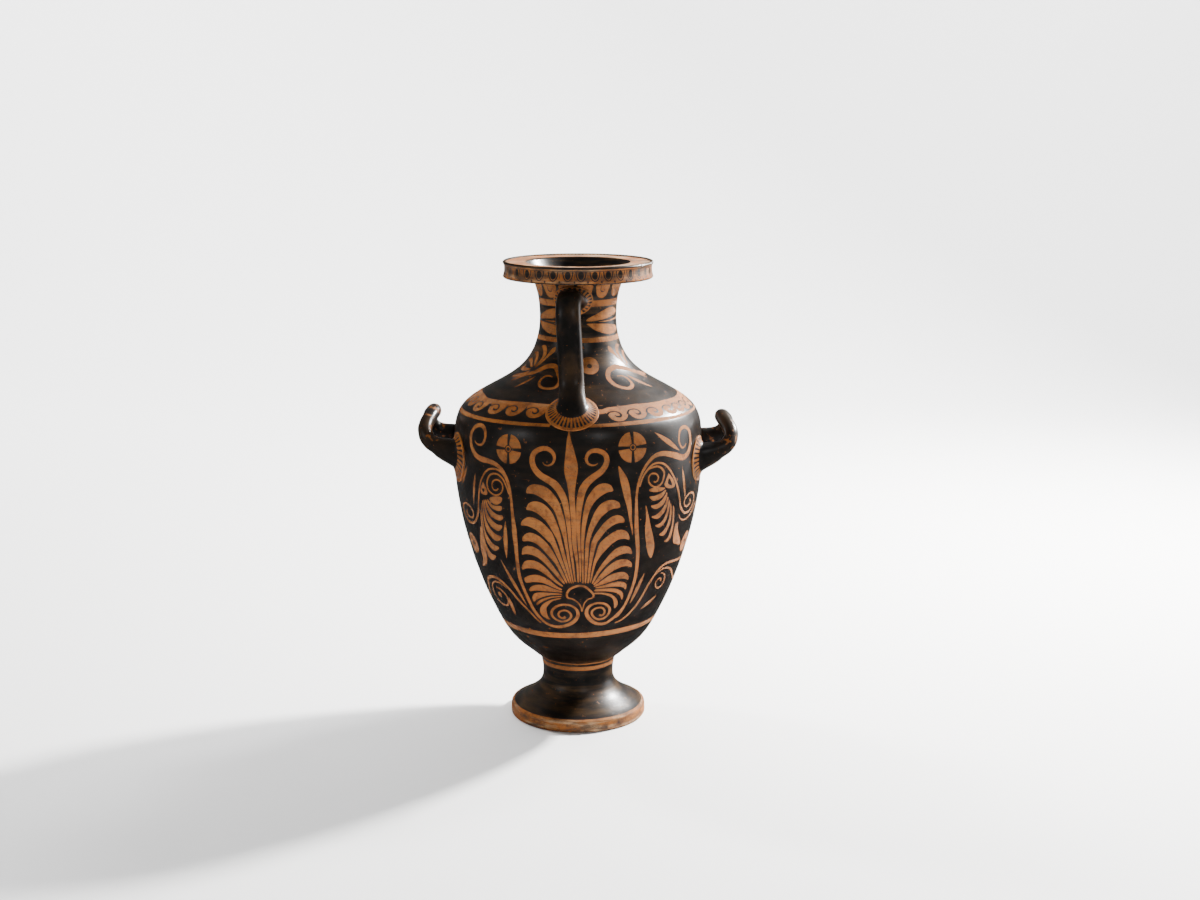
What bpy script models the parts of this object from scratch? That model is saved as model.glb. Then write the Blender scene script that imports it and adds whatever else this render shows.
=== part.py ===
# A red-figure hydria: a three-handled water jar of fired clay, hollow, on a stemmed foot.
# Metres, +Z up. The jar's axis is the Z axis and its foot stands on z = 0.
# The upright handle faces -Y, a little off centre as the potter set it; the carrying handles lie on X.

import math

import bmesh
import bpy
import numpy as np

# Heights, stacked from the table up
FOOT_EDGE_HEIGHT = 0.0117
STEM_TOP = 0.0605
BELLY_RISE = 0.2035
SHOULDER_RISE = 0.132
NECK_RISE = 0.038
LIP_DEPTH = 0.016

# Radii of the thrown body
FOOT_RADIUS = 0.0664
STEM_RADIUS = 0.0345
BODY_BASE_RADIUS = 0.0385
BELLY_RADIUS = 0.1198
NECK_RADIUS = 0.0366
NECK_HEAD_RADIUS = 0.0434
LIP_RADIUS = 0.0717
MOUTH_RADIUS = 0.0486

# Clay thicknesses and small turned details
WALL = 0.0055
FLOOR_THICKNESS = 0.0085
FOOT_REST_WIDTH = 0.0125
STEM_WALL = 0.0105
RIM_BEAD_WIDTH = 0.0032
RIM_BEAD_HEIGHT = 0.0014

# Upright handle, from under the lip to the shoulder; sizes are (half width, half height or thickness)
UPRIGHT_SECTION = (0.0118, 0.0077)
UPRIGHT_FINGER_GAP = 0.0343
UPRIGHT_DROP_BELOW_LIP = 0.0180
UPRIGHT_FOOT_RISE = 0.0592
UPRIGHT_TOP_AZIMUTH = math.radians(-7.2)
UPRIGHT_FOOT_AZIMUTH = math.radians(-3.1)
UPRIGHT_TOP_COLLAR = (0.0190, 0.0145)
UPRIGHT_TOP_ROOT = (0.0122, 0.0092)
UPRIGHT_FOOT_COLLAR = (0.0237, 0.0225)
UPRIGHT_FOOT_COLLAR_DROP = 0.0030
UPRIGHT_FOOT_ROOT = (0.0128, 0.0130)

# Two carrying handles, upturned bows beside the belly
SIDE_RADIUS = 0.0068
SIDE_ROOT = (0.0112, 0.0133)
SIDE_HALF_SPREAD = 0.0360
SIDE_REACH = 0.0262
LEFT_ROOT_HEIGHT = 0.2704
LEFT_RISE = 0.0342
LEFT_COLLAR = (0.0205, 0.0240)
LEFT_COLLAR_DROP = 0.0042
RIGHT_ROOT_HEIGHT = 0.2668
RIGHT_RISE = 0.0324
RIGHT_COLLAR = (0.0198, 0.0215)
RIGHT_COLLAR_DROP = 0.0015

# How far a collar's edge and a handle's root stand off the wall, and how deep the clay is keyed in
COLLAR_LIFT = 0.0012
ROOT_LIFT = 0.0050
COLLAR_DEPTH = 0.0024

ROUND_SIDES = 52
HANDLE_SIDES = 14

BELLY = STEM_TOP + BELLY_RISE
NECK = BELLY + SHOULDER_RISE
LIP_BOTTOM = NECK + NECK_RISE
LIP_TOP = LIP_BOTTOM + LIP_DEPTH

# Curves between two turned levels, as (share of the change in radius, share of the change in height)
FOOT_TO_STEM = ((0.13, 0.085), (0.47, 0.25), (0.76, 0.45), (0.93, 0.68), (1.0, 1.0))
STEM_SWELL = ((0.20, 0.45), (0.50, 0.80), (1.0, 1.0))
BASE_TO_BELLY = (
    (0.13, 0.042),
    (0.24, 0.078),
    (0.33, 0.113),
    (0.44, 0.180),
    (0.565, 0.276),
    (0.71, 0.405),
    (0.83, 0.545),
    (0.925, 0.690),
    (0.982, 0.840),
    (1.0, 1.0),
)
BELLY_TO_NECK = (
    (0.006, 0.170),
    (0.022, 0.262),
    (0.060, 0.328),
    (0.130, 0.378),
    (0.230, 0.424),
    (0.385, 0.478),
    (0.545, 0.533),
    (0.690, 0.590),
    (0.825, 0.674),
    (0.930, 0.782),
    (0.985, 0.892),
    (1.0, 1.0),
)
NECK_TO_LIP = ((0.10, 0.37), (0.40, 0.72), (1.0, 1.0))

# The upright handle's centre line, as (share of its reach from the neck, share of its drop)
UPRIGHT_RUN = (
    (0.262, -0.025),
    (0.461, -0.053),
    (0.661, -0.046),
    (0.823, -0.002),
    (0.930, 0.078),
    (0.980, 0.197),
    (1.000, 0.336),
    (1.030, 0.519),
    (1.085, 0.691),
    (1.185, 0.820),
)

# One arm and half the bow of a carrying handle, as shares of its reach, half spread and rise,
# with the share of the way its section has thinned from the root's to the bow's
SIDE_RUN = (
    (0.31, 1.00, 0.125, 0.42),
    (0.55, 0.985, 0.205, 0.76),
    (0.78, 0.95, 0.30, 0.90),
    (0.925, 0.89, 0.43, 0.96),
    (1.00, 0.775, 0.600, 1.0),
    (0.95, 0.57, 0.765, 1.0),
    (0.82, 0.30, 0.92, 1.0),
    (0.733, 0.0, 1.00, 1.0),
)


def curve_between(start, end, shares):
    """Points from just after start to end, each at its shares of the change in radius and height."""
    return [
        (start[0] + u * (end[0] - start[0]), start[1] + v * (end[1] - start[1]))
        for u, v in shares
    ]


def foot_and_stem():
    """The outside of the foot and stem, from the resting edge up to the body's base."""
    edge_top = (FOOT_RADIUS - 0.0015, FOOT_EDGE_HEIGHT)
    waist = (STEM_RADIUS, FOOT_EDGE_HEIGHT + 0.66 * (STEM_TOP - FOOT_EDGE_HEIGHT))
    head = (STEM_RADIUS + 0.0018, STEM_TOP - 0.0015)
    edge = [
        (FOOT_RADIUS - 0.0012, 0.0),
        (FOOT_RADIUS, 0.0020),
        (FOOT_RADIUS, 0.5 * FOOT_EDGE_HEIGHT),
        edge_top,
    ]
    flare = curve_between(edge_top, waist, FOOT_TO_STEM)
    return [*edge, *flare, *curve_between(waist, head, STEM_SWELL)]


def outer_wall():
    """The outside from the body's base up to the lip's underside."""
    base = (BODY_BASE_RADIUS, STEM_TOP)
    belly = (BELLY_RADIUS, BELLY)
    neck = (NECK_RADIUS, NECK)
    head = (NECK_HEAD_RADIUS, LIP_BOTTOM)
    return [
        base,
        *curve_between(base, belly, BASE_TO_BELLY),
        *curve_between(belly, neck, BELLY_TO_NECK),
        *curve_between(neck, head, NECK_TO_LIP),
    ]


def lip():
    """The lip from its underside, up the decorated edge, over the rim bead and in to the mouth."""
    flat_height = LIP_TOP - RIM_BEAD_HEIGHT
    return [
        (LIP_RADIUS - 0.0026, LIP_BOTTOM - 0.0004),
        (LIP_RADIUS, LIP_BOTTOM + 0.0018),
        (LIP_RADIUS - 0.0014, LIP_BOTTOM + 0.50 * LIP_DEPTH),
        (LIP_RADIUS - 0.0010, LIP_TOP - 0.0036),
        (LIP_RADIUS, LIP_TOP - 0.0016),
        (LIP_RADIUS - 0.35 * RIM_BEAD_WIDTH, LIP_TOP),
        (LIP_RADIUS - RIM_BEAD_WIDTH, flat_height),
        (MOUTH_RADIUS + 0.0016, flat_height),
        (MOUTH_RADIUS, flat_height - 0.0012),
    ]


def inner_wall(outside):
    """The inside from the mouth down to the floor: the outer wall set in by the wall's thickness."""
    points = np.array(outside)
    along = np.gradient(points, axis=0)
    inward = np.stack([-along[:, 1], along[:, 0]], axis=1)
    inward /= np.linalg.norm(inward, axis=1)[:, None]
    inset = points + WALL * inward
    floor_top = STEM_TOP + FLOOR_THICKNESS
    kept = inset[(inset[:, 1] > floor_top + 0.0035) & (inset[:, 1] < LIP_BOTTOM - 0.004)]
    throat = curve_between(
        (MOUTH_RADIUS, LIP_TOP - RIM_BEAD_HEIGHT - 0.0012),
        (NECK_HEAD_RADIUS - WALL, LIP_BOTTOM - 0.002),
        ((0.30, 0.18), (0.68, 0.50), (1.0, 1.0)),
    )
    bowl = [(0.52 * kept[0][0], floor_top + 0.0006), (0.0, floor_top)]
    return [*throat, *[tuple(p) for p in kept[::-1][::2]], tuple(kept[0]), *bowl]


def under_foot():
    """The hollow under the foot, from the axis out to the resting ring."""
    top = STEM_TOP - 0.0035
    bore = STEM_RADIUS - STEM_WALL
    ring = FOOT_RADIUS - 0.0012 - FOOT_REST_WIDTH
    return [
        (0.0, top),
        (0.72 * bore, top - 0.0020),
        (bore, top - 0.0120),
        (bore + 0.22 * (ring - bore), 0.0210),
        (bore + 0.62 * (ring - bore), 0.0090),
        (ring - 0.0010, 0.0022),
        (ring, 0.0),
    ]


def turned_solid(name, profile):
    """A closed solid of revolution of an outline whose two ends lie on the axis."""
    mesh = bpy.data.meshes.new(name)
    turning = bmesh.new()
    spots = [turning.verts.new((radius, 0.0, height)) for radius, height in profile]
    edges = [turning.edges.new(pair) for pair in zip(spots, spots[1:])]
    bmesh.ops.spin(
        turning,
        geom=spots + edges,
        cent=(0, 0, 0),
        axis=(0, 0, 1),
        angle=2 * math.pi,
        steps=ROUND_SIDES,
        use_merge=True,
    )
    bmesh.ops.remove_doubles(turning, verts=turning.verts, dist=1e-6)
    bmesh.ops.recalc_face_normals(turning, faces=turning.faces)
    turning.to_mesh(mesh)
    turning.free()
    return bpy.data.objects.new(name, mesh)


class OuterWall:
    """Places on the outside of the thrown wall, by azimuth from -Y and by length up the wall."""

    def __init__(self, outside):
        self.radii, self.heights = np.array(outside).T
        steps = np.hypot(np.diff(self.radii), np.diff(self.heights))
        self.lengths = np.concatenate([[0.0], np.cumsum(steps)])

    def length_at(self, height):
        return float(np.interp(height, self.heights, self.lengths))

    def radius_and_height(self, length):
        radius = np.interp(length, self.lengths, self.radii)
        return radius, np.interp(length, self.lengths, self.heights)

    def place(self, azimuth, length, lift):
        """Points at these azimuths and lengths, lifted off the wall along its outward normal."""
        ahead = np.array(self.radius_and_height(length + 0.003))
        slope = ahead - np.array(self.radius_and_height(length - 0.003))
        slope = slope / np.hypot(*slope)
        radius, height = self.radius_and_height(length)
        radius = radius + lift * slope[1]
        height = height - lift * slope[0]
        return np.stack([radius * np.sin(azimuth), -radius * np.cos(azimuth), height], axis=-1)


TURNS = 2 * math.pi * np.arange(HANDLE_SIDES) / HANDLE_SIDES


def root_ring(wall, root, size, lift, drop=0.0):
    """An oval ring round a handle's root that follows the wall, at the given lift and drop."""
    radius, _ = wall.radius_and_height(root["length"])
    sideways = root["lateral_sign"] * size[0] * np.cos(TURNS)
    upwards = root["up_sign"] * size[1] * np.sin(TURNS)
    lengths = root["length"] - drop + upwards
    return wall.place(root["azimuth"] + sideways / radius, lengths, lift)


def path_ring(centre, lateral, normal, half_width, half_height):
    """An oval ring across the handle, squared a little so that a strap keeps its flat front."""
    across = np.sign(np.cos(TURNS)) * np.abs(np.cos(TURNS)) ** 0.85
    upright = np.sign(np.sin(TURNS)) * np.abs(np.sin(TURNS)) ** 0.85
    return (
        centre
        + half_width * across[:, None] * lateral
        + half_height * upright[:, None] * normal
    )


def keyed_end(wall, root):
    """Rings of a handle's end: the key inside the wall, the collar's edge and its skirt."""
    collar = np.array(root["collar"])
    neck = np.array(root["size"])
    drop = root["collar_drop"]
    rings = [
        root_ring(wall, root, 0.5 * collar, -COLLAR_DEPTH, drop),
        root_ring(wall, root, 0.96 * collar, -COLLAR_DEPTH, drop),
    ]
    for share in (1.0, 0.62, 0.28):
        lift = COLLAR_LIFT + (ROOT_LIFT - COLLAR_LIFT) * (1 - share) ** 2
        size = neck + share * (collar - neck)
        rings.append(root_ring(wall, root, size, lift, share * drop))
    return rings


def smooth_rings(rings, per_span):
    """Rings on Catmull-Rom curves through the given ones, both ends included."""
    knots = [2 * rings[0] - rings[1], *rings, 2 * rings[-1] - rings[-2]]
    run = []
    for a, b, c, d in zip(knots, knots[1:], knots[2:], knots[3:]):
        for t in np.arange(per_span) / per_span:
            bend = (2 * a - 5 * b + 4 * c - d) * t * t + (3 * b - a - 3 * c + d) * t**3
            run.append(0.5 * (2 * b + (c - a) * t + bend))
    return [*run, rings[-1]]


def loft(name, rings, tips):
    """A closed skin over a row of rings, closed to a point at each end."""
    mesh = bpy.data.meshes.new(name)
    skin = bmesh.new()
    rows = [[skin.verts.new(p) for p in ring] for ring in rings]
    for low, high in zip(rows, rows[1:]):
        for k in range(len(low)):
            n = (k + 1) % len(low)
            skin.faces.new((low[k], low[n], high[n], high[k]))
    for row, tip in zip((rows[0], rows[-1]), tips):
        point = skin.verts.new(tip)
        for k in range(len(row)):
            skin.faces.new((row[k], row[(k + 1) % len(row)], point))
    bmesh.ops.recalc_face_normals(skin, faces=skin.faces)
    skin.to_mesh(mesh)
    skin.free()
    return bpy.data.objects.new(name, mesh)


def handle(name, wall, roots, centres, sizes, lateral_of, per_span, mirror=1):
    """A handle luted to the wall at two roots, along a row of centres."""
    rings = [root_ring(wall, roots[0], roots[0]["size"], ROOT_LIFT)]
    for i, centre in enumerate(centres):
        tangent = centres[min(i + 1, len(centres) - 1)] - centres[max(i - 1, 0)]
        tangent = tangent / np.linalg.norm(tangent)
        lateral = lateral_of(centre, tangent)
        lateral = lateral - lateral.dot(tangent) * tangent
        lateral = lateral / np.linalg.norm(lateral)
        rings.append(path_ring(centre, lateral, np.cross(lateral, tangent), *sizes[i]))
    rings.append(root_ring(wall, roots[1], roots[1]["size"], ROOT_LIFT))
    rings = [
        *keyed_end(wall, roots[0]),
        *smooth_rings(rings, per_span),
        *keyed_end(wall, roots[1])[::-1],
    ]
    tips = [wall.place(root["azimuth"], root["length"], -COLLAR_DEPTH) for root in roots]
    side = np.array([mirror, 1, 1])
    return loft(name, [ring * side for ring in rings], [tip * side for tip in tips])


def upright_handle(wall):
    """The pouring handle: out from the neck, over a tight bend and down to the shoulder."""
    top_length = wall.length_at(LIP_BOTTOM - UPRIGHT_DROP_BELOW_LIP)
    foot_length = wall.length_at(BELLY + UPRIGHT_FOOT_RISE)
    top_radius, top_height = wall.radius_and_height(top_length)
    foot_height = wall.radius_and_height(foot_length)[1]
    reach = NECK_RADIUS + UPRIGHT_FINGER_GAP + UPRIGHT_SECTION[1]
    centres = []
    for out, down in UPRIGHT_RUN:
        fallen = min(max(down, 0.0), 1.0)
        azimuth = UPRIGHT_TOP_AZIMUTH + fallen * (UPRIGHT_FOOT_AZIMUTH - UPRIGHT_TOP_AZIMUTH)
        radius = top_radius + out * (reach - top_radius)
        height = top_height - down * (top_height - foot_height)
        centres.append(
            np.array([radius * math.sin(azimuth), -radius * math.cos(azimuth), height])
        )
    top = {
        "azimuth": UPRIGHT_TOP_AZIMUTH,
        "length": top_length,
        "collar": UPRIGHT_TOP_COLLAR,
        "collar_drop": 0.0,
        "size": UPRIGHT_TOP_ROOT,
        "lateral_sign": -1,
        "up_sign": 1,
    }
    foot = {
        "azimuth": UPRIGHT_FOOT_AZIMUTH,
        "length": foot_length,
        "collar": UPRIGHT_FOOT_COLLAR,
        "collar_drop": UPRIGHT_FOOT_COLLAR_DROP,
        "size": UPRIGHT_FOOT_ROOT,
        "lateral_sign": -1,
        "up_sign": -1,
    }

    def lateral_of(centre, tangent):
        return np.array([centre[1], -centre[0], 0.0])

    sizes = [UPRIGHT_SECTION] * len(centres)
    return handle("upright_handle", wall, (top, foot), centres, sizes, lateral_of, 2)


def carrying_handle(name, wall, root_height, rise, collar, collar_drop, mirror):
    """A carrying handle: two thick arms out and up from the belly, meeting in a recurved bow."""
    length = wall.length_at(root_height)
    spread = math.asin(SIDE_HALF_SPREAD / BELLY_RADIUS)
    half_bow = [(x, -y, z, thin) for x, y, z, thin in SIDE_RUN]
    shares = [*half_bow, *SIDE_RUN[-2::-1]]
    centres = [
        np.array(
            [
                BELLY_RADIUS + x * SIDE_REACH,
                y * SIDE_HALF_SPREAD,
                root_height + z * rise,
            ]
        )
        for x, y, z, _ in shares
    ]
    sizes = [
        tuple(root + thin * (SIDE_RADIUS - root) for root in SIDE_ROOT)
        for *_, thin in shares
    ]
    roots = [
        {
            "azimuth": 0.5 * math.pi + end * spread,
            "length": length,
            "collar": collar,
            "collar_drop": collar_drop,
            "size": SIDE_ROOT,
            "lateral_sign": end,
            "up_sign": 1,
        }
        for end in (-1, 1)
    ]

    def lateral_of(centre, tangent):
        return np.cross(tangent, [0.0, 0.0, 1.0])

    return handle(name, wall, roots, centres, sizes, lateral_of, 1, mirror)


def clay():
    """Fired clay under black gloss."""
    material = bpy.data.materials.new("black_gloss_clay")
    material.use_nodes = True
    shader = material.node_tree.nodes["Principled BSDF"]
    shader.inputs["Base Color"].default_value = (0.045, 0.034, 0.027, 1.0)
    shader.inputs["Roughness"].default_value = 0.32
    shader.inputs["Metallic"].default_value = 0.0
    return material


def build():
    for obj in list(bpy.data.objects):
        bpy.data.objects.remove(obj)
    outside = outer_wall()
    profile = [*under_foot(), *foot_and_stem(), *outside, *lip(), *inner_wall(outside)]
    jar = turned_solid("hydria", profile)
    bpy.context.scene.collection.objects.link(jar)
    wall = OuterWall(outside)
    left = (LEFT_ROOT_HEIGHT, LEFT_RISE, LEFT_COLLAR, LEFT_COLLAR_DROP, -1)
    right = (RIGHT_ROOT_HEIGHT, RIGHT_RISE, RIGHT_COLLAR, RIGHT_COLLAR_DROP, 1)
    handles = [
        upright_handle(wall),
        carrying_handle("carrying_handle_left", wall, *left),
        carrying_handle("carrying_handle_right", wall, *right),
    ]
    for piece in handles:
        bpy.context.scene.collection.objects.link(piece)
        piece.hide_render = True
        piece.display_type = "WIRE"
        luting = jar.modifiers.new(piece.name, "BOOLEAN")
        luting.operation = "UNION"
        luting.solver = "EXACT"
        luting.object = piece
    jar.data.materials.append(clay())
    jar.data.shade_smooth()
    jar.data.set_sharp_from_angle(angle=math.radians(40))


build()
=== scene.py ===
import math

import bpy
import numpy as np
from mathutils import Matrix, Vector
from mathutils.geometry import delaunay_2d_cdt


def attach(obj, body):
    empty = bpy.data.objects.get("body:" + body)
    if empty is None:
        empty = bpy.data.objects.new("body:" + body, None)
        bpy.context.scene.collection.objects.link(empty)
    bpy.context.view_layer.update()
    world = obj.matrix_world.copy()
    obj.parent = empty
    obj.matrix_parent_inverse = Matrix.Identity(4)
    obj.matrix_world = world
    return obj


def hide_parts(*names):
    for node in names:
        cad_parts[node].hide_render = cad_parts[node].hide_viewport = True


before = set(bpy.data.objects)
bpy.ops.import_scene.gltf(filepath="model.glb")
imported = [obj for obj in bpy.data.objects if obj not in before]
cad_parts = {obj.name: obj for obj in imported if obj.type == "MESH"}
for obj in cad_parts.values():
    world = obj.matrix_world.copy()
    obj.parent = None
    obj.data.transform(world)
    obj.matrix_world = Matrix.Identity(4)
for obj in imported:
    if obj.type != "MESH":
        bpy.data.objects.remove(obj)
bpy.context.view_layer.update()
print("frame loaded")


# The turned jar. Radii and heights in millimetres, azimuth in degrees from the front (-Y), growing to +X.

jar = {
    "footEdge": [(65.2, 0.0), (66.2, 0.7), (66.5, 1.8), (66.5, 6.0), (66.2, 9.8), (65.6, 11.2),
     (64.6, 11.8)],
    "stem": [(64.6, 11.8), (58.6, 14.6), (51.2, 19.2), (45.6, 23.0), (41.8, 26.3), (38.4, 30.0),
     (36.4, 33.4), (35.1, 37.0), (34.6, 41.0), (34.6, 45.0), (34.9, 49.0), (35.6, 53.0), (36.5, 57.0),
     (37.2, 59.6), (37.7, 60.3), (38.5, 60.6)],
    "body": [(38.5, 60.6), (43.4, 64.2), (48.7, 68.9), (57.3, 76.0), (64.5, 83.1), (69.9, 90.2),
     (74.3, 97.3), (78.0, 104.4), (85.1, 118.7), (91.4, 132.9), (96.8, 147.1), (101.8, 161.3),
     (106.0, 175.5), (110.0, 189.7), (113.3, 203.9), (115.9, 218.1), (118.1, 232.3), (119.4, 246.5),
     (119.8, 260.7), (119.7, 274.9), (119.2, 289.1), (118.3, 296.2), (116.2, 303.3), (112.2, 310.4),
     (104.6, 317.5), (93.6, 324.6), (80.9, 331.7), (68.6, 338.8), (58.6, 345.9), (51.2, 353.0),
     (46.0, 360.1), (42.3, 367.2), (39.8, 374.3), (38.0, 381.4), (37.0, 388.5), (36.6, 395.6),
     (36.8, 402.7), (37.3, 409.8), (38.3, 416.9), (40.1, 424.0), (42.4, 430.6), (43.6, 433.2)],
    "lip": [(43.6, 433.2), (52.0, 433.7), (62.0, 433.7), (69.2, 433.6), (70.9, 434.1), (71.6, 435.2),
     (71.2, 437.0), (70.5, 440.0), (70.3, 443.0), (70.5, 446.0), (71.1, 447.0), (71.7, 447.9),
     (71.7, 449.0), (70.9, 449.8), (69.9, 449.9), (68.9, 449.3), (68.3, 448.7), (60.0, 448.6),
     (51.0, 448.6), (49.4, 448.2), (48.7, 447.2)],
    "throat": [(48.7, 447.2), (46.6, 443.0), (41.6, 435.0), (37.8, 429.0), (34.6, 422.0), (32.4, 414.0),
     (31.3, 404.0), (31.1, 396.0), (32.2, 384.0), (34.2, 375.0), (38.2, 363.5), (44.4, 352.5),
     (52.4, 343.5), (62.4, 335.2), (77.2, 326.8), (91.0, 319.4), (102.0, 312.0), (109.4, 303.8),
     (113.2, 292.0), (114.2, 276.0), (114.2, 256.0), (112.6, 232.0), (108.0, 205.0), (100.8, 176.0),
     (90.6, 148.0), (78.0, 118.0), (67.4, 96.0), (56.0, 80.5), (43.0, 71.6), (22.0, 69.2), (0.05, 69.0)],
    "underside": [(0.05, 57.0), (17.3, 55.0), (24.0, 45.0), (30.2, 21.0), (41.8, 9.0), (51.6, 2.2),
     (52.6, 0.3), (53.4, 0.0), (65.2, 0.0)],
}


def between(a, b, c, d, t):
    # Catmull-Rom curve from b to c, with their neighbours a and d
    return 0.5 * (2 * b + (c - a) * t + (2 * a - 5 * b + 4 * c - d) * t ** 2 + (3 * b - a - 3 * c + d) * t ** 3)


def throughPoints(points, step, closed=False):
    # Catmull-Rom curve through the points, in equal steps of its own length
    p = np.array(points, float)
    if closed:
        k = np.vstack([p[-1], p, p[0], p[1]])
    else:
        k = np.vstack([2 * p[0] - p[1], p, 2 * p[-1] - p[-2]])
    t = np.linspace(0, 1, 12, endpoint=False)[:, None, None]
    run = between(k[:-3], k[1:-2], k[2:-1], k[3:], t)
    run = run.transpose(1, 0, 2).reshape(-1, p.shape[1])
    run = np.vstack([run, p[0] if closed else p[-1]])
    far = np.concatenate([[0], np.cumsum(np.hypot(*np.diff(run[:, :2], axis=0).T))])
    n = max(3, int(round(far[-1] / step)))
    at = np.linspace(0, far[-1], n + 1)
    even = np.stack([np.interp(at, far, column) for column in run.T], 1)
    return even[:-1] if closed else even


def turned(parts, step):
    # one outline of the jar, joined from smoothed stretches that keep their corners
    run = [throughPoints(jar[name], step[name]) for name in parts]
    return np.vstack([run[0]] + [r[1:] for r in run[1:]]) / 1000


outside = turned(("footEdge", "stem", "body", "lip"), {"footEdge": 0.6, "stem": 1.2, "body": 1.6, "lip": 0.5})
alongWall = np.concatenate([[0], np.cumsum(np.hypot(*np.diff(outside, axis=0).T))])
slope = np.gradient(outside, alongWall, axis=0)
slope /= np.hypot(*slope.T)[:, None]
bodyRows = (outside[:, 1] >= 0.0119) & (outside[:, 1] <= 0.4331) & (alongWall < alongWall[-1] - 0.03)


def wallLength(z):
    # length along the outer wall from the resting edge to a height in millimetres, foot to lip
    return np.interp(np.asarray(z) / 1000, outside[bodyRows, 1], alongWall[bodyRows])


def wallRadius(s):
    # radius of the outer wall at a length along it
    return np.interp(s, alongWall, outside[:, 0])


# Ornament: closed outlines on the wall, each with its paint, as rows of (azimuth in radians, length along
# the wall in metres).

painted = []
slit = 89.0  # the azimuth where the skin is slit, which only level bands cross
columns = 120
longestEdge = 1.4  # of an outline, in mm


def addOutline(azimuth, length, paint, allRound=False):
    # a motif stops just short of the slit at the right side, and its edges are parted into short ones;
    # a band runs to the slit
    near = 0.0 if allRound else 0.3
    kept = np.clip(azimuth, math.radians(slit - 360 + near), math.radians(slit - near))
    outline = np.stack([kept, length], 1)
    if not allRound:
        ahead = np.roll(outline, -1, 0)
        parts = np.ceil(np.hypot(*((ahead - outline) * (100, 1000)).T) / longestEdge).astype(int).clip(1)
        start = np.repeat(np.cumsum(parts) - parts, parts)
        share = ((np.arange(parts.sum()) - start) / np.repeat(parts, parts))[:, None]
        outline = np.repeat(outline, parts, 0) * (1 - share) + np.repeat(ahead, parts, 0) * share
    painted.append((outline, paint))


def stroke(points, widths, paint=1.0, step=1.0):
    # a brush line: points (azimuth, height), offset either way at right angles by half of the widths in mm
    # spread along it
    p = np.array(points, float)
    s = wallLength(p[:, 1])
    flat = np.stack([np.radians(p[:, 0]) * 100, s * 1000], 1)
    run = throughPoints(flat, step)
    azimuth, length = run[:, 0] / 100, run[:, 1] / 1000
    radius = wallRadius(length)
    across = np.gradient(azimuth) * radius
    up = np.gradient(length)
    size = np.hypot(across, up) + 1e-12
    half = 0.0005 * np.interp(np.linspace(0, 1, len(run)), np.linspace(0, 1, len(widths)), widths)
    da, ds = -up / size * half / radius, across / size * half
    addOutline(np.concatenate([azimuth + da, (azimuth - da)[::-1]]),
               np.concatenate([length + ds, (length - ds)[::-1]]), paint)


def leaf(upper, lower, paint=1.0, step=1.2):
    # a leaf or frond: its upper and lower edges from the tip, closed with one smooth curve
    p = np.array([*upper, *lower[::-1]], float)
    flat = np.stack([np.radians(p[:, 0]) * 100, wallLength(p[:, 1]) * 1000], 1)
    run = throughPoints(flat, step, closed=True)
    addOutline(run[:, 0] / 100, run[:, 1] / 1000, paint)


def dart(start, end, width, paint=1.0):
    # a spindle between two points, widest in the middle
    a, b = np.array(start, float), np.array(end, float)
    t = np.array([0, .25, .5, .75, 1])[:, None]
    stroke(a + t * (b - a), (0.3, 0.75 * width, width, 0.75 * width, 0.3), paint)


def disc(centre, radius, paint=1.0, sides=28):
    # a circle on the wall round (azimuth, height), its radius in mm
    turn = np.linspace(0, 2 * np.pi, sides, endpoint=False)
    length = wallLength(centre[1]) + radius / 1000 * np.sin(turn)
    addOutline(np.radians(centre[0]) + radius / 1000 * np.cos(turn) / wallRadius(length), length, paint)


def rosette(centre, radius):
    # a disc parted by four black wedges into petals, with a ringed dot in its middle
    disc(centre, radius, 1.0, 48)
    r = radius / 1000
    length, azimuth = wallLength(centre[1]), np.radians(centre[0])
    for dx, dy in ((1, 0), (0, 1), (-1, 0), (0, -1)):
        along, side = np.array([0.1, 1.05, 1.05, 0.1]), np.array([0.06, 0.135, -0.135, -0.06])
        x, y = r * (along * dx - side * dy), r * (along * dy + side * dx)
        addOutline(azimuth + x / wallRadius(length), length + y, 0.0)
    disc(centre, 3.7, 0.0)
    disc(centre, 2.8, 1.0)
    disc(centre, 1.7, 0.0)


def dottedDisc(centre, radius, dot):
    # a disc with a black dot
    disc(centre, radius, 1.0, 40)
    disc(centre, dot, 0.0)


def mirrored(points, axis):
    # the same points on the other side of an azimuth
    return [(2 * axis - a, z) for a, z in points]


def moved(points, turn, rise=0.0):
    # the same points turned and raised
    return [(turn + a, rise + z) for a, z in points]


# Belly, in front: a palmette over a heart-shaped arch, volutes below, scrolls and rosettes at its sides.

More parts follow.
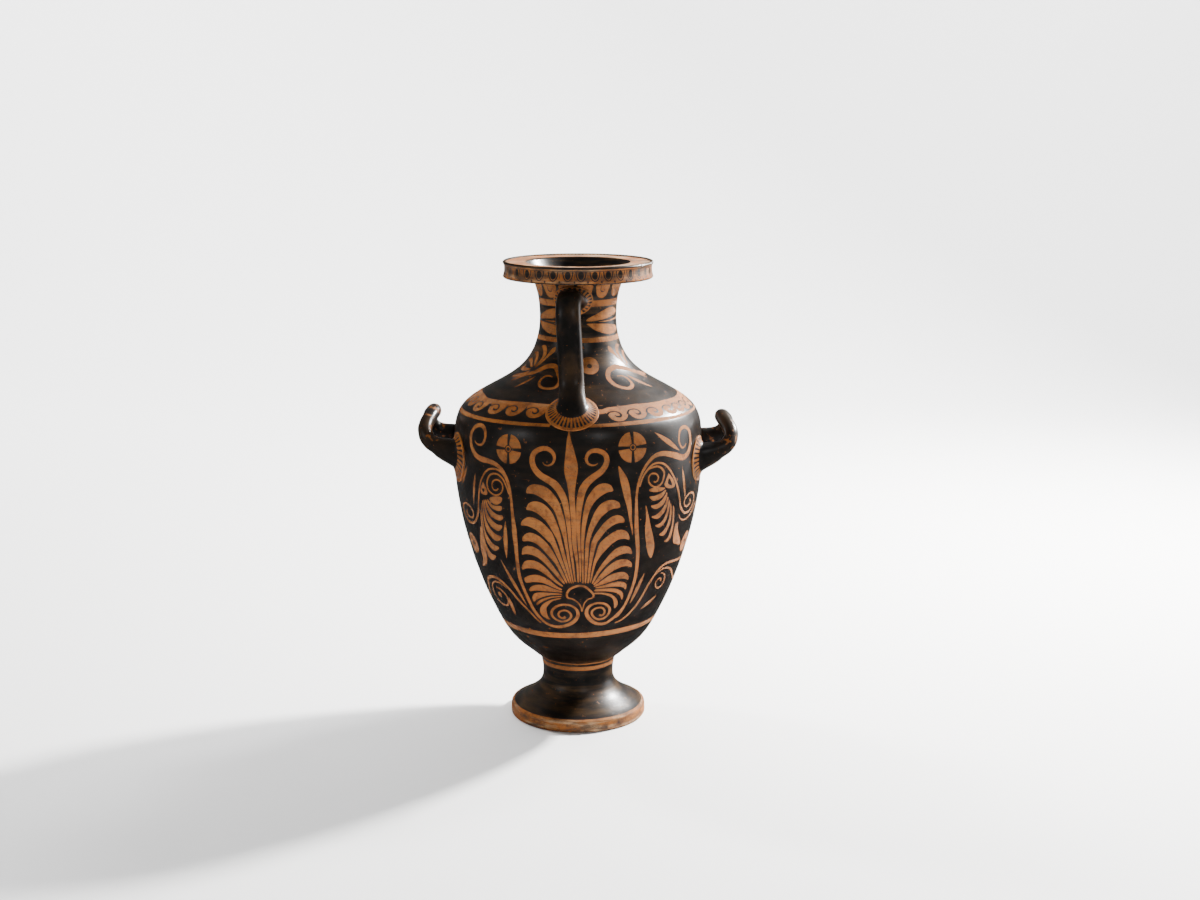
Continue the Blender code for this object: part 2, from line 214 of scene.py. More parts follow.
frondsLeft = [
    ([(-23.3, 250), (-22.5, 254), (-20.5, 256.8), (-18, 257.2), (-15.6, 256.5), (-13.1, 254), (-11.1, 250),
     (-9.3, 245), (-8.1, 240), (-7.1, 233), (-6.1, 225), (-5.5, 216), (-5.1, 207), (-4.8, 200), (-3.7, 180),
     (-2.4, 162)], [(-23, 248), (-20, 248), (-17.3, 246), (-14.6, 242.5), (-12.6, 238.5), (-10.8, 234),
     (-9.6, 228), (-8.6, 220), (-7.3, 211), (-6.4, 202), (-4.7, 180), (-2.9, 162)]),
    ([(-23.5, 234.2), (-22.5, 238.1), (-20.5, 240.6), (-18.5, 241.1), (-16.5, 240.3), (-14.6, 238.1),
     (-12.8, 234.6), (-11.3, 230), (-10.3, 225), (-9.3, 219), (-8.3, 212), (-7.3, 201), (-5.1, 180),
     (-3.4, 162)], [(-23.5, 232.2), (-21.3, 231.9), (-19, 230.2), (-16.8, 227.2), (-14.8, 223.2),
     (-13.3, 218.8), (-12.1, 214.3), (-10.8, 209.3), (-9.3, 202), (-6.6, 180), (-4.0, 162)]),
    ([(-26.8, 218.8), (-25.5, 222.2), (-23.5, 224.7), (-21.3, 225.2), (-19, 224.2), (-16.5, 221.3),
     (-14.6, 217.8), (-13.1, 214.3), (-11.8, 210.4), (-10.2, 201), (-7.1, 180), (-4.5, 162)],
     [(-26.8, 216.1), (-24.5, 216.5), (-22, 215.3), (-19.8, 213.3), (-17.8, 210.4), (-16, 206.9),
     (-14.0, 202.5), (-12.5, 199), (-8.6, 180), (-5.2, 162)]),
    ([(-27, 203.5), (-25.5, 207.4), (-23.5, 209.6), (-21, 209.6), (-18.5, 207.4), (-16, 203.5),
     (-14.0, 199), (-11.9, 192), (-9.3, 180), (-5.8, 162)], [(-26.8, 200.5), (-24, 201.2), (-21.5, 200.5),
     (-19.5, 198.5), (-17.5, 195.1), (-15.6, 190.7), (-11.4, 180.5), (-9.0, 171), (-6.5, 161)]),
    ([(-28.4, 187.7), (-27.4, 193.4), (-24.8, 196), (-21.6, 195.8), (-18.8, 193), (-16.4, 188.5),
     (-14.3, 183.2), (-12.0, 176.5), (-9.6, 169.2), (-7, 160.8)], [(-28.4, 186.3), (-25.8, 187.6),
     (-22.7, 187.3), (-20.1, 185.4), (-17.7, 181.9), (-15.4, 177.1), (-12.8, 171), (-9.9, 164.5),
     (-7.6, 159.4)]),
    ([(-29.5, 174.5), (-27.4, 179.8), (-24.2, 181.7), (-21.4, 181.3), (-18.2, 178.4), (-15.6, 173.6),
     (-13.3, 167.9), (-10.9, 162.4), (-8.1, 157.6)], [(-29.7, 170.5), (-26.8, 172.7), (-23.2, 173.3),
     (-20.1, 171.8), (-17.5, 168.8), (-14.8, 165), (-12.3, 161), (-8.7, 156.6)]),
    ([(-29.5, 161.4), (-26.8, 164.8), (-23.2, 166.9), (-20.1, 166.7), (-16.9, 164.4), (-13.8, 160.5),
     (-10.7, 155.8), (-8.6, 153.6)], [(-29, 157), (-25.8, 158.4), (-22.2, 159.2), (-19, 159),
     (-15.9, 157.2), (-12.8, 154.9), (-9.3, 152.6)]),
    ([(-27.4, 151.5), (-25.3, 154.5), (-22.2, 156.4), (-19, 156.8), (-15.9, 155.5), (-12.8, 153.4),
     (-8.8, 151.4)], [(-27.6, 148.4), (-24.2, 149.8), (-20.6, 150.3), (-13.3, 150.3), (-8.8, 150.2)]),
    ([(-26.9, 141.7), (-25.3, 146), (-22.2, 148.1), (-18.5, 148.8), (-14.3, 148.9), (-9.4, 148.6)],
     [(-26.4, 137.4), (-24.2, 140), (-21.1, 143), (-17.5, 145.5), (-13.8, 147.1), (-9.4, 147.6)]),
    ([(-24.8, 136.2), (-22.2, 140), (-18.5, 143), (-14.3, 145.3), (-9.6, 146.2)], [(-24.8, 133.6),
     (-22.2, 137), (-19, 140.4), (-14.9, 143.6), (-9.7, 145.2)]),
    ([(-9.9, 143.9), (-14.3, 142.2), (-18, 139.2), (-21.1, 135.4), (-23.2, 130.7), (-23.7, 126.5),
     (-22.7, 122.4), (-20.1, 119.5), (-17.7, 119.1)], [(-9.9, 142.9), (-14.3, 140.4), (-16.9, 136.6),
     (-18.8, 132.4), (-19.3, 127.4), (-19, 122.4), (-17.9, 119.4)]),
]

frondsRight = [
    ([(15.3, 254.1), (14.3, 257.1), (12.4, 258.9), (10.1, 258.9), (8.1, 257.1), (6.4, 253.6), (4.9, 249.2),
     (3.9, 245.1), (3.1, 240.1), (2.6, 235.1), (2.1, 228.1), (1.7, 220.2), (1.5, 210.3), (1.45, 200),
     (1.9, 180), (2.3, 162)], [(15.4, 251.3), (13.3, 250.6), (11.4, 248.9), (9.4, 246.1), (7.6, 242.6),
     (6.4, 239.1), (5.4, 235.1), (4.6, 230.1), (4.1, 225.2), (3.5, 218.3), (3.1, 210.3), (2.75, 200),
     (2.75, 180), (2.85, 162)]),
    ([(18.6, 239.2), (16.8, 242.2), (14.3, 243.2), (12.1, 242.2), (10.1, 239.7), (8.6, 236.2), (7.4, 232.2),
     (6.4, 227.2), (5.6, 222.2), (4.7, 216.2), (4.1, 210.3), (3.45, 200), (3.3, 180), (3.5, 162)],
     [(18.8, 235), (16.3, 234.7), (14.1, 233.2), (12.1, 230.2), (10.4, 226.7), (8.9, 222.2), (7.6, 217.3),
     (6.6, 212.3), (5.9, 207.3), (5.25, 200), (4.8, 180), (4.2, 162)]),
    ([(21.3, 223.3), (19.8, 226.8), (17.6, 228.1), (15.3, 226.8), (13.4, 224.3), (11.6, 220.8),
     (10.1, 216.8), (8.7, 212.8), (7.5, 208.8), (6.8, 205.3), (6.05, 200), (5.35, 180), (4.9, 162)],
     [(21.3, 220.3), (19.1, 220.3), (16.6, 218.8), (14.6, 216.3), (12.9, 213.4), (11.4, 209.4),
     (10.1, 205.4), (8.6, 200), (6.7, 180), (5.8, 162)]),
    ([(24.6, 205.4), (23.3, 210.3), (20.8, 213.1), (18.3, 213.1), (15.8, 210.8), (13.7, 207.9),
     (11.6, 204.4), (9.9, 200), (8.7, 191), (7.4, 180), (6.3, 162)], [(24.6, 202.3), (22.3, 203.9),
     (19.8, 203.9), (17.6, 202), (15.4, 198.6), (13.2, 193.7), (10.8, 188), (8.6, 179), (6.9, 163)]),
    ([(26.9, 190.3), (25.3, 194.7), (22.7, 196.7), (20.1, 196.3), (17.7, 193.8), (15.4, 189.4),
     (13.3, 184.1), (11.2, 178), (9.3, 171), (7.3, 161)], [(27.1, 187.2), (24.8, 188.7), (22.2, 188.5),
     (19.6, 186.9), (17.2, 184.1), (14.9, 180.2), (12.5, 174.9), (10.4, 169.2), (7.9, 160)]),
    ([(27.9, 177.6), (25.8, 181.3), (22.7, 183.1), (19.6, 182.4), (16.9, 179.7), (14.3, 175.4), (12, 170.1),
     (9.9, 164.4), (8.1, 159.2)], [(28, 173.6), (25.3, 175.4), (22.2, 174.9), (19, 172.7), (16.4, 169.7),
     (13.8, 166.1), (11.2, 162.2), (8.6, 158.2)]),
    ([(27.1, 164.9), (25.3, 168.4), (22.2, 169.9), (19, 169.2), (15.9, 167.1), (13.3, 163.6), (10.7, 160.1),
     (8.5, 157.3)], [(27.4, 160.7), (24.8, 162.4), (21.6, 162.4), (18.5, 161.2), (15.4, 159.6),
     (12.3, 157.9), (8.8, 156.2)]),
    ([(26.9, 155.4), (24.8, 158.8), (21.6, 159.8), (18.5, 159.4), (15.4, 157.9), (11.7, 156.4),
     (9.6, 155.6)], [(27.1, 150.3), (25.3, 152.8), (22.2, 154.5), (18.5, 155.1), (14.9, 155),
     (9.8, 154.6)]),
    ([(26.3, 143.4), (25.3, 147.7), (22.7, 151.1), (19.6, 153.1), (15.9, 153.6), (12.3, 153.7),
     (9.3, 153.3)], [(25.8, 139.6), (24.2, 144.3), (21.6, 147.7), (18.5, 149.6), (14.9, 150.8),
     (9.3, 151.4)]),
    ([(9.2, 149.8), (13.3, 149.4), (16.9, 148.1), (19.6, 146), (22.2, 141.7), (23.7, 136.6), (23.5, 133.2),
     (22.4, 130.5)], [(9.2, 148.4), (13.3, 147.7), (16.4, 146), (19, 143.4), (20.6, 140), (21.4, 134.9),
     (22.1, 131)]),
]

scrollLine = {
    "topLeft": ([(-1.5, 162), (-2.5, 180), (-3.6, 200), (-4.1, 215), (-4.8, 230), (-5.8, 242), (-7.6, 251),
     (-10.1, 258), (-13.1, 262), (-16.5, 266), (-19, 271), (-20.3, 277), (-20.3, 282), (-19.3, 286.5),
     (-17.3, 289.5), (-15, 291), (-12.6, 290), (-10.8, 286.5), (-10.3, 282), (-11.1, 277.6), (-13.1, 275.3),
     (-14.8, 276.1), (-15.5, 278.1)], (1.0, 1.7, 2.2, 2.6, 3.0, 4.0, 5.0, 6.4, 7.0, 6.2, 5.6, 4.8, 4.2, 2.4,
     0.8)),
    "topRight": ([(1.2, 162), (1.1, 180), (0.5, 200), (0.15, 220), (0.5, 235), (1.1, 246), (2.1, 254),
     (3.9, 260), (6.6, 265), (9.4, 269), (11.6, 274), (12.6, 279.6), (12.1, 284.6), (10.4, 288),
     (7.9, 289.6), (5.4, 288.6), (3.9, 285), (3.6, 280.6), (4.9, 277), (6.9, 276), (8.6, 277.6)], (0.9, 1.6,
     1.7, 2.2, 2.8, 3.6, 4.6, 6.2, 7.0, 6.4, 5.4, 4.8, 4.2, 2.8, 0.8)),
    "archLeft": ([(2.2, 129.6), (1.9, 133), (1.0, 137), (-0.5, 140.2), (-3.1, 143.3), (-5.7, 144.6),
     (-6.2, 148), (-5.3, 152), (-3.7, 154.8), (-1.2, 157), (0.9, 157.8)], (0.9, 1.2, 1.5, 1.6, 1.7, 2.0,
     2.2, 2.3, 2.3)),
    "archRight": ([(2.4, 129.6), (3.0, 134), (3.6, 138.4), (5.4, 142.6), (8.0, 144.4), (8.6, 147.4),
     (7.2, 151.0), (5.0, 154.9), (3.3, 156.9), (0.9, 157.8)], (0.9, 1.1, 1.3, 1.5, 1.9, 2.2, 2.3, 2.3)),
    "voluteLeft": ([(-30.4, 145), (-30, 142.6), (-28.7, 134.1), (-26.9, 125.7), (-24.3, 118.7),
     (-21.1, 114.2), (-18, 112.2), (-14.3, 111.2), (-10.2, 112), (-6.5, 114.2), (-3.1, 117.5), (-0.8, 122),
     (0, 126.5), (-0.8, 131.5), (-2.9, 134.9), (-5.5, 136.8), (-8.6, 136.9), (-11.7, 135.3), (-14.6, 131.9),
     (-16.2, 127.4), (-15.9, 122.8), (-13.8, 119.5), (-10.7, 117.7), (-7.6, 118.7), (-5.2, 121.2),
     (-4.2, 124.9), (-5, 128.2), (-7, 130.3), (-9.1, 130.3), (-11.2, 128.6), (-12.1, 125.7), (-11.5, 122.8),
     (-9.6, 121.7), (-7.8, 123.6)], (2.6, 2.4, 2.8, 3.2, 3.2, 3.6, 4.0, 3.4, 2.2, 2.3, 2.5, 2.4, 2.2, 2.2,
     2.0, 1.9, 2.2)),
    "voluteRight": ([(30.4, 141.5), (30, 139.1), (28.7, 132.8), (26.6, 126.9), (24, 122), (21.4, 117.9),
     (18.5, 115), (15.4, 114.2), (11.7, 115.5), (8.6, 118.7), (6.3, 122.8), (5.1, 127.4), (5.5, 132.4),
     (7.3, 136.2), (10.2, 138.1), (13.3, 138.1), (16.4, 136.2), (18.5, 132.8), (19.4, 128.6), (18.5, 124.1),
     (16.2, 120.7), (13.3, 119.9), (10.7, 121.6), (8.9, 124.9), (8.3, 128.6), (9.6, 131.9), (12, 133.2),
     (14.3, 132.8), (16, 129.8), (16.2, 126.5), (14.9, 124.1), (13, 125)], (2.6, 2.5, 2.8, 3.2, 3.4, 3.8,
     4.0, 3.2, 2.3, 2.3, 2.5, 2.4, 2.3, 2.2, 2.0, 1.9, 2.2)),
    "flankLeft": ([(-24.8, 119), (-26.6, 123), (-28.6, 130), (-30.1, 140), (-31.3, 150), (-32.2, 160),
     (-32.3, 169.8), (-31.9, 180), (-31.4, 190), (-31.1, 200), (-30.9, 217), (-31, 232), (-31.1, 240),
     (-31.6, 249), (-32.6, 257), (-34.1, 263), (-36.1, 268), (-39.1, 271.4), (-42.6, 273), (-46.1, 273.4),
     (-49.6, 273.9), (-52.6, 275.9), (-55.1, 279.9), (-56.6, 284.9), (-57.1, 290.9), (-56.6, 296.8),
     (-54.8, 301.6), (-52.3, 304), (-49.6, 303.8), (-47.3, 301.2), (-46.2, 296.3), (-46.6, 291.4),
     (-48.3, 287.4), (-50.6, 286.4), (-52.6, 287.4), (-53.6, 289.4)], (2.4, 2.8, 3.3, 3.8, 3.7, 4.3, 5.3,
     3.2, 2.6, 3.3, 3.8, 5.4, 5.2, 4.5, 3.9, 3.0, 1.2)),
    "flankRight": ([(24, 120), (26, 123), (28.2, 130), (30, 140), (31.1, 150), (31.6, 160), (31.5, 170),
     (31, 180), (30.2, 190), (29.2, 200), (28, 212), (27.2, 227), (26.7, 240), (26.9, 249), (27.5, 257),
     (28.7, 264), (30.5, 270), (33, 276), (36, 280), (39.5, 281.2), (42.9, 280.4), (46.4, 278.4),
     (49.4, 276.4), (51.9, 274.4), (54.9, 272.9), (57.9, 273.9), (60.4, 277.9), (61.9, 284), (62, 290),
     (61.4, 295.8), (59.4, 299.7), (56.9, 300.7), (53.9, 299.2), (52.2, 294.3), (51.9, 288.9),
     (53.2, 283.9), (54.9, 282.1), (56.9, 283.4), (57.7, 285.4)], (2.6, 3.0, 3.4, 3.6, 3.6, 4.1, 4.4, 3.6,
     2.6, 2.3, 3.0, 4.6, 5.8, 5.2, 4.2, 3.2, 2.2, 1.0)),
    "smallLeft": ([(-32.1, 245), (-33.4, 252), (-35.1, 258.4), (-37.6, 261.9), (-40.1, 262.4),
     (-42.6, 260.4), (-44.3, 255.9), (-44.8, 250.9), (-44.1, 246), (-42.1, 243), (-39.6, 242), (-37.1, 244),
     (-35.6, 248), (-35.4, 252), (-36.1, 254.9), (-37.9, 256.9), (-39.9, 256.4), (-41.4, 253.4),
     (-41.6, 249.9), (-40.6, 246.9), (-39.1, 246.9), (-37.9, 248.9)], (1.4, 1.6, 1.8, 1.8, 1.6, 1.5, 1.5,
     1.4)),
    "loopLeft": ([(-32.6, 254), (-34.1, 261), (-36.6, 265.4), (-39.6, 266.9), (-43.1, 265.7),
     (-45.6, 262.4), (-47.6, 257.4), (-49.1, 252), (-50.1, 246), (-51.1, 239), (-52.1, 231), (-53.6, 221),
     (-56.5, 212), (-61, 206.5), (-66.5, 206.5), (-70.5, 212), (-70.5, 219.5), (-66.5, 224), (-61.5, 223.5),
     (-58.6, 218.5), (-59.5, 213), (-63.3, 211.5), (-66.4, 214.5), (-64.8, 218.4)], (1.4, 1.9, 1.8, 2.0,
     2.2, 2.4, 2.4, 2.0, 1.8, 1.6)),
    "smallRight": ([(30.5, 264), (32.5, 268.4), (35, 269.7), (37.5, 269.9), (40, 267.4), (41.5, 262.9),
     (41.2, 257.9), (40, 252.9), (37.5, 250.7), (35, 251.9), (33, 255.9), (32.7, 260.4), (33.7, 263.4),
     (35.5, 263.9), (37.2, 262.4), (38.1, 259.4), (37.5, 256.4), (36.2, 255.4), (35.5, 256.4)], (1.5, 1.8,
     2.0, 1.8, 1.7, 1.5, 1.5)),
    "loopRight": ([(28, 253), (29.5, 261), (31.5, 267), (34.5, 272), (37.5, 273.1), (40.5, 271.9),
     (42.9, 268.9), (45.4, 263.9), (47.4, 258.4), (49.4, 252), (50.9, 246), (52.4, 239), (53.9, 232),
     (55.4, 225), (57.9, 220), (60.9, 216.7), (65, 216.2), (69.2, 220), (70.2, 227), (67.5, 233.5),
     (62.5, 235), (58.6, 230.5), (59.2, 225), (62.3, 222.5), (65.4, 225.4), (64.2, 229)], (1.5, 1.8, 2.0,
     2.2, 2.4, 2.4, 2.0, 1.8, 1.6)),
    "underRight": ([(54.6, 218), (57.5, 212), (61.5, 209.6), (66, 210.4), (71, 214), (76, 221)], (0.8, 1.6,
     2.0, 2.2, 2.4)),
    "tendrilLeft": ([(-25, 114), (-27.3, 117.2), (-29.8, 122), (-32.3, 127), (-35.3, 132.1), (-38.3, 138),
     (-40.7, 143.1), (-43.2, 147.4), (-46.2, 151.6), (-49.2, 153.9), (-52.7, 154.6), (-56.1, 153.8),
     (-59.6, 151.6), (-62.6, 148.2), (-65.6, 140.5), (-69, 132), (-74, 125)], (1.6, 2.4, 2.8, 3.0, 3.2, 3.2,
     3.0, 3.0)),
    "tendrilLeftInner": ([(-44.2, 145.6), (-47.2, 148.6), (-50.2, 149.9), (-53.6, 149.5), (-56.6, 147.4),
     (-59.1, 143.9), (-60.6, 138), (-60.0, 131.5), (-57.2, 126.6), (-52.6, 124.8), (-48.4, 127.2),
     (-46.6, 132.4), (-47.6, 138.6), (-51.2, 142.6), (-55.1, 143.2)], (0.8, 1.8, 2.0, 2.2, 2.2, 2.0, 1.6)),
    "tendrilRight": ([(25, 114), (29, 116), (32.4, 120), (35.4, 125.4), (37.9, 131.3), (39.9, 138),
     (41.4, 144.8), (42.9, 151.6), (44.6, 157.2), (46.8, 162.8), (49.3, 166.7), (52.3, 168.4),
     (56.3, 168.7), (60.7, 168), (65.7, 167), (72.2, 165.8), (80, 166)], (1.6, 2.6, 3.0, 3.0, 3.0, 2.8, 2.8,
     2.8)),
    "tendrilRightInner": ([(44, 155), (46.8, 160.6), (51.8, 163.9), (55.3, 163.3), (58.8, 161.5),
     (62.2, 158.1), (65.7, 153.4), (69.7, 148.6), (74.7, 143.9), (82, 140)], (0.8, 1.8, 2.4, 2.6, 2.8,
     2.8)),
    "curlRight": ([(50.8, 159.6), (53.8, 158.1), (56.3, 154.2), (57.5, 149.1), (56.8, 144.8), (53.8, 143.1),
     (50.8, 144.8), (48.8, 149.1), (49.1, 152.5), (50.8, 154.2), (52.8, 152.5), (53.7, 149.9)], (1.0, 2.0,
     2.2, 2.0, 1.8, 1.4)),
}

darts = [ ((-53.1, 258.4), (-56.6, 227), 3.5), ((-35.4, 218), (-38.5, 179.5), 5.0), ((-43, 176.3),
        (-32, 131.7), 4.2), ((-45, 136.3), (-45.2, 116.4), 5.0), ((36.8, 301.5), (51.9, 280.4), 5.0),
        ((54.4, 262.4), (58.4, 232), 4.0), ((37.2, 164.6), (32.4, 133.8), 4.4), ((54.3, 134.6),
        (42.6, 124.2), 5.3), ((-60.5, 262), (-66.5, 243), 4.0), ((66.5, 262), (71, 240), 4.2), ]

singleLeaves = [
    ([(-4.2, 307), (-5.0, 298), (-5.3, 290), (-6.0, 275), (-5.8, 268), (-4.9, 260), (-4.1, 250),
     (-3.7, 240), (-3.3, 230), (-2.9, 215), (-2.6, 200), (-0.9, 180), (-0.3, 163)], [(-4.0, 307),
     (-2.9, 298), (-1.7, 290), (-0.2, 277), (-0.1, 271), (-0.9, 260), (-1.4, 250), (-1.3, 240), (-1.0, 230),
     (-0.7, 215), (-0.65, 200), (0.2, 180), (0.4, 163)]),
    ([(17.8, 274.1), (18.1, 267), (19.1, 257), (20.6, 245), (22.3, 234), (23.8, 222), (25.3, 212),
     (26.2, 206)], [(18.2, 274.1), (19.8, 269.6), (21.8, 263), (23.1, 255), (23.8, 246), (24.6, 234),
     (25.1, 222), (26.2, 211)]),
    ([(31.7, 233.5), (32.5, 222), (32.7, 212), (33.2, 205), (34.7, 195), (36.7, 185.5), (39.2, 179.4)],
     [(32.1, 233.5), (34.2, 222), (36, 212), (37.5, 205), (39.4, 196), (40.4, 189), (40.2, 182)]),
    ([(-47.6, 252), (-49.2, 246), (-49.6, 242), (-48.6, 240.2), (-46.2, 240)], [(-47.4, 252), (-45.6, 247),
     (-44.9, 243), (-45.2, 240.8)]),
    ([(44.2, 261), (42.6, 255), (41.8, 251), (43.3, 248), (46.0, 246.6)], [(44.5, 261), (47.4, 255),
     (48.8, 249.5), (48.3, 246.9)]),
    ([(-63.3, 162.9), (-59.8, 171), (-59.4, 180), (-57.4, 190), (-54.6, 203), (-53.4, 206)],
     [(-62.8, 161.8), (-57.5, 166), (-54.7, 175), (-53.9, 186), (-53.2, 196), (-52.8, 205)]),
    ([(63.7, 184.3), (60.8, 192), (57.6, 199), (56.0, 205), (55.4, 210)], [(63.2, 183.6), (58.0, 186.5),
     (54.6, 190), (53.4, 198), (53.2, 208)]),
]

fanLeft = [
    ([(-36.1, 240.5), (-38.0, 241.2), (-41.0, 240.2), (-43.6, 238.2)], [(-36.4, 237), (-38.4, 233.6),
     (-40.8, 232.7), (-43.4, 235.4)]),
    ([(-36.7, 232), (-39, 231.9), (-41.8, 231.4), (-43.6, 233.6), (-44.8, 236.4)], [(-36.9, 228.5),
     (-39.1, 226.8), (-42.2, 227.9), (-44.6, 231.4), (-45.6, 235.6)]),
    ([(-36.7, 223), (-39.6, 223.0), (-42.8, 225.6), (-45.2, 230.4), (-46.0, 235.4)], [(-36.9, 219.5),
     (-39.6, 217.3), (-43.4, 219.6), (-46.2, 226.0), (-46.8, 234.6)]),
    ([(-37.9, 213), (-40.8, 213.2), (-44.2, 216.8), (-46.7, 223.4), (-47.3, 234)], [(-38.2, 210),
     (-40.8, 206.4), (-44.8, 209.4), (-47.6, 217.2), (-48.0, 233.4)]),
    ([(-39.5, 201.5), (-42.8, 202.6), (-46.2, 207.4), (-48.4, 215.8), (-48.5, 232.6)], [(-39.8, 198.5),
     (-43.2, 195.6), (-47.2, 199.6), (-49.6, 209), (-49.2, 231.4)]),
    ([(-42.5, 190), (-45.8, 191.4), (-49.0, 197.4), (-50.6, 207), (-49.8, 229)], [(-42.8, 187.6),
     (-46.4, 184.4), (-50.0, 189.4), (-51.6, 200), (-50.5, 227)]),
    ([(-46.3, 179.6), (-49.2, 180.4), (-51.6, 186.4), (-52.4, 197), (-51.3, 222)], [(-46.6, 177.4),
     (-50.2, 173.4), (-53.2, 177.6), (-53.6, 192), (-52.0, 219)]),
]

fanRight = [
    ([(33.2, 249.4), (36, 250.2), (39.5, 249.6), (42.2, 248.6)], [(33.5, 247.4), (37, 245.7), (40.2, 246.0),
     (42.2, 247.4)]),
    ([(33.5, 242.4), (36.5, 242.4), (40, 243.9), (42.6, 246.2)], [(34, 240.4), (36, 237.7), (39.5, 238.4),
     (42, 241.9), (43, 245.4)]),
    ([(34.7, 233.5), (38, 234), (40.5, 236.4), (42.5, 240), (43.4, 243.6)], [(35.2, 231.5), (37.5, 229.2),
     (40.5, 230.5), (42.7, 234), (44.0, 241.5)]),
    ([(35.7, 222.5), (38.5, 223.5), (41, 227), (43.3, 232.6), (44.2, 239)], [(36.2, 220.9), (39.2, 219),
     (42, 222), (44.2, 228), (45.0, 237)]),
    ([(38.6, 213), (41.5, 214), (43.7, 218.5), (44.9, 225), (45.4, 235)], [(39, 211.6), (41.7, 209.7),
     (44.2, 213), (46.0, 220), (46.3, 233)]),
    ([(42.2, 203), (44.5, 205.4), (46.5, 211), (47.3, 219), (46.7, 231)], [(42.5, 201.5), (45.5, 200.5),
     (47.7, 206.4), (48.9, 214), (48.4, 224), (47.6, 230)]),
    ([(46.4, 194.3), (48.9, 197), (49.9, 203), (50.2, 212), (48.9, 228)], [(46.9, 193.4), (49.4, 192.6),
     (51.4, 197), (51.8, 208), (50.6, 222), (49.8, 227)]),
]


def bellyFront():
    # every frond, line, spindle, rosette and disc on the front of the belly
    for upper, lower in frondsLeft + frondsRight + fanLeft + fanRight + singleLeaves:
        leaf(upper, lower)
    for points, widths in scrollLine.values():
        stroke(points, widths)
    for start, end, width in darts:
        dart(start, end, width)
    rosette((-32.3, 287.4), 13.8)
    rosette((24.75, 290.5), 14.3)
    disc((-47.6, 244.2), 1.8, 0.0)
    leaf([(44.9, 256.5), (44.1, 251.6)], [(46.9, 249.4)], 0.0)
    disc((-53.5, 136), 3.0)
    dottedDisc((-67, 184), 10.5, 2.5)
    dottedDisc((70.5, 184), 10.5, 2.5)


# Bands, shoulder, neck, lip and foot.

around = np.linspace(slit - 360, slit, 181)  # azimuths of the points of a level band


def ring(start, end, paint):
    # a level band all round between two lengths along the profile, each one number or one for every azimuth
    start, end = np.broadcast_to(start, around.shape), np.broadcast_to(end, around.shape)
    azimuth = np.radians(np.concatenate([around, around[::-1]]))
    addOutline(azimuth, np.concatenate([start, end[::-1]]), paint, True)


def band(low, high):
    # a clay band all round between two heights, each one number or rows of (azimuth, height)
    edges = [np.interp(around, *np.array(edge, float).T, period=360) if np.ndim(edge) else edge
             for edge in (low, high)]
    ring(wallLength(edges[0]), wallLength(edges[1]), 1.0)


waveCrests = [-63.2, -48.7, -36.1, -23.4, 20.2, 31.7, 43.2, 54.8, 63.5, 72.3, 82.0]
waveCrests += list(np.linspace(-264.2, -75.0, 17))


def bellyBands():
    # the stripe under the palmette, the stripe under the waves, and the waves: a clay crest with a black curl
    band([(-75, 97.5), (-25, 97.7), (0, 99), (35, 100.6), (60, 101.5), (120, 100), (200, 98)],
         [(-75, 103.3), (-25, 103.6), (0, 104.8), (35, 106.8), (60, 106.6), (120, 105.6), (200, 103.6)])
    low = [(-180, 307.6), (-75, 307), (-50, 308.2), (-16, 309.6), (-5, 309.8), (5, 309.6), (35, 309.9),
            (75, 309.4)]
    high = [(-180, 310.9), (-75, 310.5), (-50, 311.1), (-35, 311.8), (-18, 312.1), (-5, 312.2), (9, 312.2),
            (25, 312.9), (44, 312.8), (55, 312), (75, 311.3)]
    band(low, high)
    leaf([(-13.4, 310.2), (-6, 313.5), (4.6, 310.4)], [(-6, 307.5)], 0.0)
    top = [(-180, 325.0), (-75, 325.4), (-64, 324.1), (-50, 325.2), (-40, 326.1), (-30, 326.6), (-10, 326.2),
           (12, 322.6), (17, 324.1), (33, 324.9), (44, 324.3), (55, 323.9), (75, 323.2)]
    band([(a, z - 3.2) for a, z in top], top)
    topAt = np.array(top, float)
    for a in waveCrests:
        z = float(np.interp(a, topAt[:, 0], topAt[:, 1], period=360)) - 1.6
        crest = [(-4.6, -4.9), (-3.6, -7.2), (-1.6, -8.8), (0.6, -9.2), (3.0, -8.4), (5.0, -6.4), (6.2, -3.8)]
        under = [(-5.4, -3.0), (-5.4, -1.0), (-3.0, 0.8), (3.5, 0.8), (6.3, -1.0)]
        curl = [(-5.7, -5.0), (-4.6, -2.9), (-2.8, -1.9), (-0.6, -1.7), (1.2, -2.6), (2.0, -4.2), (1.1, -5.6),
                (-0.5, -5.4), (-1.1, -4.4)]
        leaf(moved(crest, a, z), moved(under, a, z), 1.0, 0.9)
        stroke(moved(curl, a, z), (2.6, 1.7, 1.3, 1.3, 1.5, 2.2, 2.0, 0.9), 0.0, 0.7)


